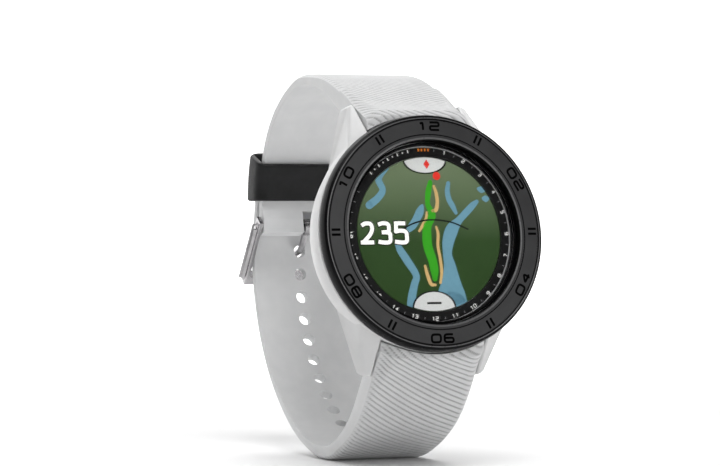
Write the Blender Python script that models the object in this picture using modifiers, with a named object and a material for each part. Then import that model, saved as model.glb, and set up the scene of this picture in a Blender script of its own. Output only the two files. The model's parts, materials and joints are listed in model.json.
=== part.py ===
"""A round golf GPS wristwatch, buckled into a loop, as separate pieces.

Sizes are in millimetres in the watch's own frame: the origin is the centre of the dial, in the
plane of the bezel's outer edge. X points to 3 o'clock, Z to 12 o'clock and Y to the wrist, so
the dial faces -Y. An empty holds every piece: it leans the watch back, and puts the middle of
the space for the wrist at the world's origin.
"""

import math

import bmesh
import bpy
from mathutils import Matrix, Vector

MM = 0.001
COLLECTION = "golf_gps_watch"
LEAN = math.radians(9.63)
WRIST_CENTRE = (34.0, -1.0)

# Case, seen from the side: heights are towards the wearer's eye, so a height is -Y.
CASE_R = 22.9
CASE_BACK_R = 21.5
RIM_H = -0.5
WAIST_H = -3.4
BACK_H = -9.0
LENS_LEDGE_H = -0.2
WEB_BACK_H = -2.2
FRONT_BORE_R = 17.0
CAVITY_R = 19.5
COVER_R = 20.3
COVER_THICK = 0.9
COVER_RECESS_R = 20.5
FIT = 0.15
GAP = 0.3

# Bezel and what lies under the lens.
BEZEL_R = 23.0
BEZEL_FACE_R = 22.4
BEZEL_FACE_H = 2.35
BEZEL_BORE_R = 17.8
BEZEL_TOP_H = 2.6
LENS_R = 17.6
LENS_TOP_H = 1.5
LENS_BOTTOM_H = 0.2
DIAL_H = -0.3
DISPLAY_R = 14.95

# Lugs and the bars that hold the strap.
LUG_INNER_X = 11.15
BAR_Y = 6.9
BAR_Z = 23.6
BAR_TUBE_R = 0.9
BAR_BORE_R = 0.65
BAR_PIN_R = 0.5
BAR_HALF = 9.8
BAR_REACH = 12.2
KNOB_X = 8.0
KNOB_TRAVEL = 1.4

# Strap: centre lines as (Y, Z), half widths, thicknesses.
KEEPER_ARC_CENTRE = (38.2, 13.0)
BUCKLE_STRAP_ARC_R = 23.5
TAIL_ARC_R = 26.5
STRAP_THIN = 2.1
STRAP_THICK = 4.8
LUG_HALF_WIDTH = 10.85
BUCKLE_END_HALF_WIDTH = 10.5
TAIL_HALF_WIDTH = 10.3
STRAP_STEP = 2.0
BUCKLE_STRAP_BENDS = ((13.3, 28.2), (23.5, 34.1), (35.0, 37.1), (43.0, 36.1))
TAIL_BENDS = (
    (12.2, -28.9), (18.0, -33.7), (25.0, -37.0), (33.0, -38.7), (40.5, -37.5), (47.7, -34.2), (53.9, -29.6),
    (59.6, -23.5), (63.9, -16.8), (66.8, -9.6), (68.2, -2.4), (68.3, 4.2), (67.7, 9.0), (65.8, 13.4),
)
TAIL_ARC_ANGLES = (10.0, 16.0, 22.0, 28.0, 30.0)
TAIL_TIP = 5.0
FAR = 999.0
BUCKLE_STRAP_WIDTHS = (
    (0.0, LUG_HALF_WIDTH), (15.0, LUG_HALF_WIDTH), (53.0, BUCKLE_END_HALF_WIDTH), (FAR, BUCKLE_END_HALF_WIDTH),
)
BUCKLE_STRAP_THICKNESSES = ((0.0, STRAP_THICK), (9.0, STRAP_THICK), (17.0, 4.1), (30.0, 2.7), (35.0, STRAP_THIN))
BUCKLE_BOSS_THICK = 3.0
LEAD_BUCKLE = 7.0
LEAD_TAIL = 8.0
BUCKLE_LEAD_OUT = ((0.0, 0.8), (2.0, 3.3), (3.5, 3.7), (7.0, 3.0), (10.0, 2.55), (13.0, 2.4), (17.0, 2.4))
TAIL_LEAD_OUT = ((0.0, 0.8), (2.0, 2.8), (4.0, 4.5), (6.0, 3.95), (8.0, 3.3), (11.0, 2.75), (14.0, 2.4), (20.0, 2.3))
BUCKLE_EDGE_DROPS = ((0.0, 1.6), (4.0, 1.6), (7.0, 1.2), (10.0, 0.9), (13.0, 0.7))
TAIL_EDGE_DROPS = ((0.0, 2.3), (5.0, 2.3), (8.0, 1.7), (11.0, 1.1), (14.0, 0.7))
EDGE_WIDTHS = ((0.0, 3.6), (5.0, 3.6), (14.0, 1.2))
TAIL_WIDTHS = ((0.0, LUG_HALF_WIDTH), (16.0, LUG_HALF_WIDTH), (64.0, TAIL_HALF_WIDTH), (FAR, TAIL_HALF_WIDTH))
TAIL_THICKNESSES = (
    (0.0, STRAP_THICK), (10.0, STRAP_THICK), (20.0, 4.4), (33.0, 3.0), (53.0, 2.2), (FAR, STRAP_THIN),
)
HOLES_BELOW_TANG = 10
HOLE_PITCH = 5.0
HOLE_R = 1.25
TANG_HOLE_Z = 7.0

# Keeper and buckle.
KEEPER_ANGLE = math.radians(19.5)
KEEPER_HALF_LENGTH = 4.5
KEEPER_WALL = 1.25
KEEPER_FIT = 0.25
PIN_ANGLE = math.radians(-4.4)
BUCKLE_BAR_R = 0.75
ARM_INNER_X = 10.75
ARM_THICK = 1.9
ARM_DEPTH = 2.4
ARM_LENGTH = 13.2
ARM_ANGLE = math.radians(-44.0)
TANG_R = 0.7
TANG_PATH = ((1.2, -0.3), (3.4, -2.8), (5.2, -4.15), (7.9, -4.4), (9.6, -5.3), (10.4, -6.02))

# Action key, at 2 o'clock.
KEY_ANGLE = math.radians(60.0)
KEY_H = -4.6
KEY_R = 2.8
KEY_OUT = 24.3
KEY_HEAD_IN = 21.75
KEY_TRAVEL = 0.6
KEY_STEM_R = 0.85
DOME_IN = 15.4
DOME_OUT = 15.95
STEM_IN = DOME_OUT + KEY_TRAVEL + 0.2

# Rear screws and charging port.
SCREW_RING_R = 18.1
SCREW_ANGLES = (45.0, 135.0, 225.0, 315.0)
PORT_Z = -13.6
PORT_SIZE = (7.4, 3.4)

SEGMENTS = 64
PIN_SEGMENTS = 16

parts = None
cutters = None
watch_frame = None
materials = {}


def material(name, colour, roughness, metallic=0.0):
    """Returns the named material, made on first use."""
    if name not in materials:
        made = bpy.data.materials.new(name)
        made.use_nodes = True
        shader = made.node_tree.nodes["Principled BSDF"]
        shader.inputs["Base Color"].default_value = (*colour, 1.0)
        shader.inputs["Roughness"].default_value = roughness
        shader.inputs["Metallic"].default_value = metallic
        materials[name] = made
    return materials[name]


def white_polymer():
    return material("white_polymer", (0.78, 0.78, 0.78), 0.45)


def white_silicone():
    return material("white_silicone", (0.74, 0.75, 0.76), 0.6)


def black_rubber():
    return material("black_rubber", (0.02, 0.02, 0.02), 0.6)


def black_plastic():
    return material("black_plastic", (0.03, 0.03, 0.03), 0.5)


def steel():
    return material("steel", (0.6, 0.6, 0.61), 0.25, 1.0)


def gold():
    return material("gold_plating", (0.83, 0.63, 0.3), 0.3, 1.0)


# ---------------------------------------------------------------- making and placing objects


def link(name, mesh, look=None, cutter=False):
    """Puts a mesh made in millimetres into the scene, under the watch's frame."""
    mesh.transform(Matrix.Scale(MM, 4))
    piece = bpy.data.objects.new(name, mesh)
    piece.parent = watch_frame
    if cutter:
        cutters.objects.link(piece)
        piece.hide_render = True
        piece.display_type = "WIRE"
    else:
        parts.objects.link(piece)
        mesh.materials.append(look)
    return piece


def place(piece, x=0.0, y=0.0, z=0.0):
    piece.location = Vector((x, y, z)) * MM
    return piece


def from_bmesh(name, made, look=None, cutter=False):
    """Turns a bmesh into a linked object with its faces pointing out."""
    bmesh.ops.recalc_face_normals(made, faces=made.faces)
    mesh = bpy.data.meshes.new(name)
    made.to_mesh(mesh)
    made.free()
    return link(name, mesh, look, cutter)


def shade_smooth(piece, angle=35.0):
    piece.data.shade_smooth()
    piece.data.set_sharp_from_angle(angle=math.radians(angle))


def turned(name, profile, look=None, cutter=False, segments=SEGMENTS):
    """Turns (radius, height) points round the dial's axis. The profile closes on itself or on the axis."""
    made = bmesh.new()
    points = [made.verts.new((radius, -height, 0.0)) for radius, height in profile]
    for first, second in zip(points, points[1:]):
        made.edges.new((first, second))
    if profile[0][0] > 0.0:
        made.edges.new((points[-1], points[0]))
    mesh = bpy.data.meshes.new(name)
    made.to_mesh(mesh)
    made.free()
    piece = link(name, mesh, look, cutter)
    screw = piece.modifiers.new("turn", "SCREW")
    screw.axis = "Y"
    screw.steps = segments
    screw.render_steps = segments
    screw.use_merge_vertices = True
    screw.merge_threshold = 0.00001
    screw.use_normal_flip = True
    return piece


def ring(name, inner, outer, top, bottom, look=None, cutter=False, segments=SEGMENTS):
    """A plain washer about the dial's axis, between two heights."""
    return turned(name, [(outer, top), (outer, bottom), (inner, bottom), (inner, top)], look, cutter, segments)


def disc(name, radius, top, bottom, look=None, cutter=False, segments=SEGMENTS):
    return turned(name, [(0.0, top), (radius, top), (radius, bottom), (0.0, bottom)], look, cutter, segments)


def box(name, low, high, look=None, cutter=False, bevel=0.0):
    """A box between two corners."""
    made = bmesh.new()
    bmesh.ops.create_cube(made, size=1.0)
    size = [high[i] - low[i] for i in range(3)]
    middle = Vector([(high[i] + low[i]) / 2 for i in range(3)])
    bmesh.ops.transform(made, matrix=Matrix.Translation(middle) @ Matrix.Diagonal((*size, 1.0)), verts=made.verts)
    if bevel:
        bmesh.ops.bevel(made, geom=made.edges, offset=bevel, segments=1, affect="EDGES")
    return from_bmesh(name, made, look, cutter)


def rod_shape(made, start, end, radius, segments=PIN_SEGMENTS):
    """Adds a closed cylinder between two points to a bmesh."""
    start = Vector(start)
    along = Vector(end) - start
    turn = Vector((0.0, 0.0, 1.0)).rotation_difference(along).to_matrix().to_4x4()
    where = Matrix.Translation(start + along / 2) @ turn
    bmesh.ops.create_cone(
        made, cap_ends=True, segments=segments, radius1=radius, radius2=radius, depth=along.length, matrix=where
    )


def rod(name, start, end, radius, look=None, cutter=False, segments=PIN_SEGMENTS):
    made = bmesh.new()
    rod_shape(made, start, end, radius, segments)
    return from_bmesh(name, made, look, cutter)


def cut(piece, cutter, operation="DIFFERENCE"):
    boolean = piece.modifiers.new(cutter.name, "BOOLEAN")
    boolean.operation = operation
    boolean.object = cutter


def coil(name, start, end, radius, wire, turns, look):
    """A coil spring between two points: a poly curve given a round section, then made a mesh."""
    start = Vector(start)
    along = Vector(end) - start
    turn = Vector((0.0, 0.0, 1.0)).rotation_difference(along).to_matrix()
    steps = 9
    curve = bpy.data.curves.new(name, "CURVE")
    curve.dimensions = "3D"
    curve.bevel_depth = wire * MM
    curve.bevel_resolution = 0
    curve.use_fill_caps = True
    spline = curve.splines.new("POLY")
    count = turns * steps + 1
    spline.points.add(count - 1)
    for i in range(count):
        angle = 2 * math.pi * i / steps
        rise = wire + (along.length - 2 * wire) * i / (count - 1)
        local = Vector((radius * math.cos(angle), radius * math.sin(angle), rise))
        spline.points[i].co = (*((start + turn @ local) * MM), 1.0)
    helper = bpy.data.objects.new(name + "_curve", curve)
    parts.objects.link(helper)
    graph = bpy.context.evaluated_depsgraph_get()
    mesh = bpy.data.meshes.new_from_object(helper.evaluated_get(graph))
    bpy.data.objects.remove(helper)
    made = bmesh.new()
    made.from_mesh(mesh)
    bmesh.ops.remove_doubles(made, verts=made.verts, dist=0.000001)
    bmesh.ops.transform(made, matrix=Matrix.Scale(1 / MM, 4), verts=made.verts)
    return from_bmesh(name, made, look)


def key_point(along, side=0.0, height=KEY_H):
    """A point on the action key's axis, along from the dial's centre, offset sideways in the dial."""
    x = math.sin(KEY_ANGLE) * along + math.cos(KEY_ANGLE) * side
    z = math.cos(KEY_ANGLE) * along - math.sin(KEY_ANGLE) * side
    return Vector((x, -height, z))


# ---------------------------------------------------------------- case


def case_radius(height):
    """Outer radius of the case at a height."""
    if height > WAIST_H:
        return CASE_R
    return CASE_R + (CASE_BACK_R - CASE_R) * (height - WAIST_H) / (BACK_H - WAIST_H)


def lug_shape(made, side, end):
    """One faceted lug, as a tapered block: side is -1 or 1 in X, end is -1 or 1 in Z."""
    corners = {
        (-1, -1, -1): (LUG_INNER_X, -6.8, 12.0),
        (-1, -1, 1): (LUG_INNER_X, 7.2, 26.7),
        (-1, 1, 1): (LUG_INNER_X, 9.3, 26.5),
        (-1, 1, -1): (LUG_INNER_X, 8.9, 8.0),
        (1, -1, -1): (16.9, -2.3, 12.0),
        (1, -1, 1): (12.3, 7.0, 26.2),
        (1, 1, 1): (13.7, 9.0, 25.6),
        (1, 1, -1): (18.3, 8.9, 8.0),
    }
    block = bmesh.ops.create_cube(made, size=2.0)["verts"]
    for vertex in block:
        x, y, z = corners[tuple(int(round(value)) for value in vertex.co)]
        vertex.co = (side * x, y, end * z)
    bmesh.ops.recalc_face_normals(made, faces=made.faces)
    edges = {edge for vertex in block for edge in vertex.link_edges}
    bmesh.ops.bevel(made, geom=list(edges), offset=0.35, segments=1, affect="EDGES")


def make_case():
    body = turned(
        "case_body",
        [(0.0, LENS_LEDGE_H), (18.0, LENS_LEDGE_H), (18.0, RIM_H), (22.7, RIM_H), (CASE_R, RIM_H - 0.2),
         (CASE_R, WAIST_H), (CASE_BACK_R, BACK_H + 0.5), (CASE_BACK_R - 0.4, BACK_H), (0.0, BACK_H)],
        white_polymer(),
    )
    for side in (-1, 1):
        for end in (-1, 1):
            made = bmesh.new()
            lug_shape(made, side, end)
            cut(body, from_bmesh(f"cut_lug_{side}_{end}", made, cutter=True), "UNION")
    bezel_seat = turned(
        "cut_bezel_seat",
        [(0.0, 9.0), (BEZEL_R + GAP, 9.0), (BEZEL_R + GAP, RIM_H - 0.02), (18.0, RIM_H - 0.02),
         (18.0, LENS_LEDGE_H - 0.02), (0.0, LENS_LEDGE_H - 0.02)],
        cutter=True,
        segments=96,
    )
    cut(body, bezel_seat)
    cavity = turned(
        "cut_cavity",
        [(0.0, 1.0), (FRONT_BORE_R, 1.0), (FRONT_BORE_R, WEB_BACK_H), (CAVITY_R, WEB_BACK_H),
         (CAVITY_R, BACK_H + COVER_THICK + GAP), (COVER_RECESS_R, BACK_H + COVER_THICK + GAP),
         (COVER_RECESS_R, BACK_H - 1.0), (0.0, BACK_H - 1.0)],
        cutter=True,
    )
    cut(body, cavity)
    bosses = bmesh.new()
    holes = bmesh.new()
    for x, z in screw_places():
        rod_shape(bosses, (x, -WEB_BACK_H - 0.4, z), (x, -BACK_H - COVER_THICK - GAP, z), 1.5)
        rod_shape(holes, (x, 5.2, z), (x, 9.5, z), 0.55)
    for side in (-1, 1):
        for end in (-1, 1):
            reach = LUG_INNER_X - 1.0, BAR_REACH + GAP
            rod_shape(holes, (side * reach[0], BAR_Y, end * BAR_Z), (side * reach[1], BAR_Y, end * BAR_Z), 0.62)
    cut(body, from_bmesh("cut_bosses", bosses, cutter=True), "UNION")
    cut(body, from_bmesh("cut_case_holes", holes, cutter=True))
    cut(body, rod("cut_key_seat", key_point(20.9), key_point(26.0), KEY_R + 0.2, cutter=True, segments=32))
    cut(body, rod("cut_key_bore", key_point(18.0), key_point(21.5), 1.6, cutter=True))


def screw_places():
    for degrees in SCREW_ANGLES:
        angle = math.radians(degrees)
        yield SCREW_RING_R * math.cos(angle), SCREW_RING_R * math.sin(angle)


def make_bezel_and_lens():
    turned(
        "bezel_ring",
        [(BEZEL_BORE_R + 0.15, BEZEL_TOP_H), (BEZEL_FACE_R, BEZEL_FACE_H), (22.78, 2.12), (22.95, 1.7),
         (BEZEL_R, 0.9), (BEZEL_R, 0.1), (22.85, -0.05), (BEZEL_BORE_R + 0.1, -0.05), (BEZEL_BORE_R, 0.05),
         (BEZEL_BORE_R, BEZEL_TOP_H - 0.15)],
        material("grey_ceramic", (0.06, 0.06, 0.065), 0.35),
        segments=96,
    )
    ring("bezel_gasket", 18.3, 22.2, -0.17, -0.4, black_rubber())
    turned(
        "lens",
        [(0.0, LENS_TOP_H), (LENS_R - 0.35, LENS_TOP_H), (LENS_R, LENS_TOP_H - 0.3), (LENS_R, LENS_BOTTOM_H),
         (0.0, LENS_BOTTOM_H)],
        material("cover_glass", (0.05, 0.06, 0.06), 0.05),
    )
    ring("lens_seal", 17.05, 17.6, 0.08, -0.1, black_rubber())
    ring("hole_number_ring", 15.1, 16.85, DIAL_H, DIAL_H - 0.3, black_plastic())
    disc("display_panel", DISPLAY_R, DIAL_H, -1.1, material("display_green", (0.08, 0.16, 0.07), 0.3))
    disc("backlight_panel", 16.2, -1.25, -1.75, material("diffuser_white", (0.8, 0.82, 0.8), 0.5))


def make_inside():
    chassis = turned(
        "inner_chassis",
        [(0.0, -2.0), (16.6, -2.0), (16.6, -7.6), (15.6, -7.6), (15.6, -2.5), (0.0, -2.5)],
        black_plastic(),
    )
    gaps = bmesh.new()
    rod_shape(gaps, key_point(14.0), key_point(18.0), 2.9)
    cut(chassis, from_bmesh("cut_chassis_key", gaps, cutter=True))
    disc("main_board", 15.3, -2.75, -3.55, material("board_green", (0.02, 0.12, 0.05), 0.5), segments=48)
    box("shield_can", (-8.0, 3.7, 5.4), (6.0, 5.0, 9.6), steel(), bevel=0.15)
    antenna_ceramic = material("antenna_ceramic", (0.6, 0.5, 0.38), 0.6)
    battery_foil = material("battery_foil", (0.5, 0.52, 0.55), 0.4, 0.7)
    box("gps_antenna", (-3.6, 3.7, 10.4), (3.4, 5.8, 14.4), antenna_ceramic, bevel=0.15)
    box("battery", (-9.6, 3.9, -10.8), (9.6, 7.7, 4.8), battery_foil, bevel=0.5)
    make_key_switch()
    rod("vibration_motor", (-12.3, 5.7, -2.0), (-12.3, 5.7, 4.0), 1.7, steel())
    make_vibration_weight()


def make_key_switch():
    """The switch's box has its face at the origin, and is then turned to face the key's stem."""
    switch = box("key_switch", (-1.3, 3.7, -1.9), (0.0, 5.6, 1.9), black_plastic(), bevel=0.1)
    face = key_point(DOME_IN - 0.1)
    place(switch, face.x, 0.0, face.z)
    switch.rotation_euler = (0.0, KEY_ANGLE - math.pi / 2, 0.0)


def make_vibration_weight():
    """The motor's shaft with its half-moon weight, about its own axis."""
    made = bmesh.new()
    rod_shape(made, (0.0, 0.0, 0.0), (0.0, 0.0, 3.4), 1.6, 24)
    bmesh.ops.translate(made, verts=made.verts, vec=(0.0, 0.0, -3.4))
    weight = from_bmesh("vibration_weight", made, material("tungsten", (0.35, 0.35, 0.36), 0.4, 1.0))
    cut(weight, place(box("cut_weight_half", (-2.0, -2.0, -4.0), (2.0, -0.35, 1.0), cutter=True), -12.3, 5.7, -2.3))
    place(weight, -12.3, 5.7, -2.3)


def make_rear():
    cover = turned(
        "rear_cover",
        [(0.0, BACK_H + COVER_THICK), (COVER_R, BACK_H + COVER_THICK), (COVER_R, BACK_H + 0.2),
         (COVER_R - 0.2, BACK_H), (0.0, BACK_H)],
        white_polymer(),
    )
    holes = bmesh.new()
    seats = bmesh.new()
    for x, z in screw_places():
        rod_shape(holes, (x, 7.5, z), (x, 9.5, z), 0.75)
        rod_shape(seats, (x, 8.5, z), (x, 9.5, z), 1.3)
    cut(cover, from_bmesh("cut_cover_holes", holes, cutter=True))
    cut(cover, from_bmesh("cut_cover_seats", seats, cutter=True))
    half_wide, half_high = PORT_SIZE[0] / 2, PORT_SIZE[1] / 2
    window = box(
        "cut_port_window", (-half_wide, 7.0, PORT_Z - half_high), (half_wide, 10.0, PORT_Z + half_high), cutter=True
    )
    cut(cover, window)
    ring("rear_cover_seal", 19.62, 20.15, BACK_H + COVER_THICK + 0.22, BACK_H + COVER_THICK + 0.06, black_rubber())
    for number, (x, z) in enumerate(screw_places(), 1):
        made = bmesh.new()
        rod_shape(made, (x, 8.62, z), (x, 8.95, z), 1.15)
        screw = from_bmesh(f"rear_screw_{number}", made, steel())
        cut(screw, rod(f"cut_shank_{number}", (x, 5.6, z), (x, 8.8, z), 0.45, cutter=True), "UNION")
        cut(screw, rod(f"cut_socket_{number}", (x, 8.78, z), (x, 9.3, z), 0.55, cutter=True, segments=6))
    port = box(
        "charging_port",
        (-half_wide + FIT, 5.8, PORT_Z - half_high + FIT),
        (half_wide - FIT, 8.4, PORT_Z + half_high - FIT),
        black_plastic(),
        bevel=0.1,
    )
    sockets = bmesh.new()
    for number in range(4):
        x = (number - 1.5) * 1.5
        rod_shape(sockets, (x, 5.0, PORT_Z), (x, 9.0, PORT_Z), 0.5, 12)
        rod(f"charging_pin_{number + 1}", (x, 5.2, PORT_Z), (x, 8.3, PORT_Z), 0.38, gold(), segments=12)
    cut(port, from_bmesh("cut_pin_sockets", sockets, cutter=True))


def make_key():
    made = bmesh.new()
    rod_shape(made, key_point(KEY_HEAD_IN), key_point(KEY_OUT), KEY_R, 32)
    face = key_point(KEY_OUT)
    rim = [edge for edge in made.edges if max((vertex.co - face).length for vertex in edge.verts) < KEY_R + 0.1]
    bmesh.ops.bevel(made, geom=rim, offset=0.35, segments=2, affect="EDGES")
    key = from_bmesh("action_key", made, steel())
    well = bmesh.new()
    rod_shape(well, key_point(21.0), key_point(23.4), 2.3, 24)
    cut(key, from_bmesh("cut_key_well", well, cutter=True))
    stem = bmesh.new()
    rod_shape(stem, key_point(STEM_IN), key_point(23.7), KEY_STEM_R)
    cut(key, from_bmesh("cut_key_stem", stem, cutter=True), "UNION")
    groove = bmesh.new()
    rod_shape(groove, key_point(18.8), key_point(19.1), 1.2)
    groove = from_bmesh("cut_clip_groove", groove, cutter=True)
    cut(groove, rod("cut_groove_core", key_point(18.0), key_point(20.0), 0.55, cutter=True))
    cut(key, groove)
    coil("key_spring", key_point(21.75), key_point(23.35), 1.6, 0.16, 3, steel())
    bushing = rod("key_bushing", key_point(19.55), key_point(20.75), 1.5, black_plastic(), segments=24)
    cut(bushing, rod("cut_bushing_bore", key_point(18.0), key_point(22.0), 1.0, cutter=True))
    cut(bushing, rod("cut_bushing_seat", key_point(20.2), key_point(22.0), 1.3, cutter=True))
    seal = rod("key_seal", key_point(20.28), key_point(20.7), 1.2, black_rubber())
    cut(seal, rod("cut_seal_bore", key_point(18.0), key_point(22.0), 0.95, cutter=True))
    clip = rod("key_clip", key_point(18.85), key_point(19.05), 1.5, steel())
    cut(clip, rod("cut_clip_bore", key_point(18.0), key_point(20.0), 0.65, cutter=True))
    mouth = bmesh.new()
    rod_shape(mouth, key_point(18.95), key_point(18.95, height=KEY_H - 2.2), 0.5, 4)
    cut(clip, from_bmesh("cut_clip_mouth", mouth, cutter=True))
    rod("switch_dome", key_point(DOME_IN), key_point(DOME_OUT), 1.1, gold())


# ---------------------------------------------------------------- strap


def arc_point(radius, degrees):
    """A point on an arc about the keeper's centre, as (Y, Z)."""
    angle = math.radians(degrees)
    return (
        KEEPER_ARC_CENTRE[0] + radius * math.cos(angle),
        KEEPER_ARC_CENTRE[1] + radius * math.sin(angle),
    )


def smooth_path(points, step):
    """Evenly spaced points on a Catmull-Rom curve through the given (Y, Z) points."""
    ends = [Vector(point) for point in points]
    ends = [2 * ends[0] - ends[1]] + ends + [2 * ends[-1] - ends[-2]]
    dense = []
    for before, start, end, after in zip(ends, ends[1:], ends[2:], ends[3:]):
        for i in range(24):
            t = i / 24
            dense.append(
                0.5 * (2 * start + (end - before) * t + (2 * before - 5 * start + 4 * end - after) * t * t
                       + (3 * start - before - 3 * end + after) * t * t * t)
            )
    dense.append(ends[-2])
    lengths = [0.0]
    for first, second in zip(dense, dense[1:]):
        lengths.append(lengths[-1] + (second - first).length)
    count = max(2, round(lengths[-1] / step))
    path = []
    index = 0
    for i in range(count + 1):
        target = lengths[-1] * i / count
        while index < len(dense) - 2 and lengths[index + 1] < target:
            index += 1
        share = (target - lengths[index]) / (lengths[index + 1] - lengths[index])
        path.append((dense[index].lerp(dense[index + 1], share), target))
    return path


def path_normals(path):
    """Unit normals of a path of ((Y, Z), distance), to the left of the way it runs."""
    normals = []
    for i in range(len(path)):
        before = path[max(i - 1, 0)][0]
        after = path[min(i + 1, len(path) - 1)][0]
        along = (after - before).normalized()
        normals.append(Vector((-along.y, along.x)))
    return normals


def strap_loft(name, path, outward, widths, thicknesses, lead_out, edge_drops, tip=0.0):
    """A strap along a path: a chamfered section, with its half width and thickness at stops along it.

    outward is 1 where the wearer's outside is to the left of the path, and -1 where it is to the right.
    lead_out gives how far its outside stands from the path at the lug end, where it fills in to the case.
    edge_drops gives how far its long outer edges fall away. tip is the length over which the far end
    narrows to a round tip.
    """
    made = bmesh.new()
    total = path[-1][1]
    normals = path_normals(path)
    rings = []
    for (centre, distance), normal in zip(path, normals):
        normal = normal * outward
        half = blend_between(distance, widths)
        from_end = total - distance
        if from_end < tip:
            half = half - tip * 0.8 * (1.0 - math.sqrt(max(0.0, 1.0 - (1.0 - from_end / tip) ** 2)))
        thick = blend_between(distance, thicknesses) / 2
        out = blend_between(distance, lead_out) if distance < lead_out[-1][0] else thick
        drop = min(blend_between(distance, edge_drops), out * 0.6)
        side = half - blend_between(distance, EDGE_WIDTHS)
        section = (
            (-half, -thick + 0.25), (-half + 0.25, -thick), (half - 0.25, -thick), (half, -thick + 0.25),
            (half, out - drop), (side, out), (-side, out), (-half, out - drop),
        )
        rings.append([
            made.verts.new((x, centre.x + normal.x * y, centre.y + normal.y * y)) for x, y in section
        ])
    for first, second in zip(rings, rings[1:]):
        for i in range(len(first)):
            j = (i + 1) % len(first)
            made.faces.new((first[i], first[j], second[j], second[i]))
    made.faces.new(rings[0])
    made.faces.new(rings[-1])
    return from_bmesh(name, made, white_silicone())


def blend_between(distance, stops):
    """Straight-line interpolation through (distance, value) stops."""
    for (start, low), (end, high) in zip(stops, stops[1:]):
        if distance <= end:
            return low + (high - low) * max(0.0, distance - start) / (end - start)
    return stops[-1][1]


def bar_block(end):
    """Clearance for the case and for the bar, cut from a strap's lug end: end is -1 or 1 in Z."""
    prefix = "upper" if end > 0 else "lower"
    clear = turned(
        f"cut_{prefix}_case_clear",
        [(0.0, 5.0), (CASE_R + GAP, 5.0), (CASE_R + GAP, WAIST_H), (CASE_BACK_R + GAP, BACK_H),
         (CASE_BACK_R + GAP, -14.0), (0.0, -14.0)],
        cutter=True,
    )
    bore = rod(f"cut_{prefix}_bar_bore", (-14.0, BAR_Y, end * BAR_Z), (14.0, BAR_Y, end * BAR_Z), BAR_TUBE_R + 0.15,
               cutter=True)
    slot = box(
        f"cut_{prefix}_knob_slot",
        (KNOB_X - KNOB_TRAVEL - 1.0, BAR_Y, end * BAR_Z - 1.0),
        (KNOB_X + 1.0, BAR_Y + 6.0, end * BAR_Z + 1.0),
        cutter=True,
    )
    return clear, bore, slot


def make_bar(end):
    """A quick-release bar: a tube with one fixed tip, a spring, and a sliding tip with its knob."""
    prefix = "upper" if end > 0 else "lower"
    z = end * BAR_Z
    tube = rod(f"{prefix}_bar_tube", (-BAR_HALF, BAR_Y, z), (BAR_HALF, BAR_Y, z), BAR_TUBE_R, steel())
    tip = rod(f"cut_{prefix}_tip", (-BAR_REACH, BAR_Y, z), (-BAR_HALF + 1.0, BAR_Y, z), BAR_PIN_R, cutter=True)
    cut(tube, tip, "UNION")
    cut(tube, rod(f"cut_{prefix}_bore", (-7.0, BAR_Y, z), (BAR_HALF + 1.0, BAR_Y, z), BAR_BORE_R, cutter=True))
    slot = box(
        f"cut_{prefix}_tube_slot",
        (KNOB_X - KNOB_TRAVEL - 0.6, BAR_Y, z - 0.5),
        (KNOB_X + 0.6, BAR_Y + 2.0, z + 0.5),
        cutter=True,
    )
    cut(tube, slot)
    coil(f"{prefix}_bar_spring", (-6.8, BAR_Y, z), (2.4, BAR_Y, z), 0.4, 0.1, 7, steel())
    slider = rod(f"{prefix}_bar_slider", (4.0, BAR_Y, z), (BAR_REACH, BAR_Y, z), BAR_PIN_R, steel())
    neck = rod(f"cut_{prefix}_neck", (KNOB_X, BAR_Y, z), (KNOB_X, BAR_Y + 2.0, z), 0.38, cutter=True)
    knob = rod(f"cut_{prefix}_knob", (KNOB_X, BAR_Y + 1.7, z), (KNOB_X, BAR_Y + 2.8, z), 0.75, cutter=True)
    cut(slider, neck, "UNION")
    cut(slider, knob, "UNION")


def make_buckle_strap():
    start = Vector((BAR_Y, BAR_Z))
    before = start - (Vector(BUCKLE_STRAP_BENDS[0]) - start).normalized() * LEAD_BUCKLE
    bends = [before, start, *BUCKLE_STRAP_BENDS]
    bends += [arc_point(BUCKLE_STRAP_ARC_R, degrees) for degrees in range(62, -5, -6)]
    bends.append(arc_point(BUCKLE_STRAP_ARC_R, math.degrees(PIN_ANGLE) - 3.6))
    path = smooth_path(bends, STRAP_STEP)
    total = path[-1][1]
    boss = ((total - 7.0, STRAP_THIN), (total - 3.0, BUCKLE_BOSS_THICK), (FAR, BUCKLE_BOSS_THICK))
    strap = strap_loft(
        "buckle_strap", path, 1, BUCKLE_STRAP_WIDTHS, BUCKLE_STRAP_THICKNESSES + boss, BUCKLE_LEAD_OUT,
        BUCKLE_EDGE_DROPS,
    )
    for cutter in bar_block(1):
        cut(strap, cutter)
    pin = pin_centre()
    cut(strap, rod("cut_buckle_bore", (-14.0, *pin), (14.0, *pin), BUCKLE_BAR_R + 0.15, cutter=True))
    cut(strap, box("cut_tang_slot", (-1.5, pin.x - 5.0, pin.y - 6.0), (1.5, pin.x + 5.0, pin.y + 3.2), cutter=True))


def pin_centre():
    return Vector(arc_point(BUCKLE_STRAP_ARC_R, math.degrees(PIN_ANGLE)))


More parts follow.
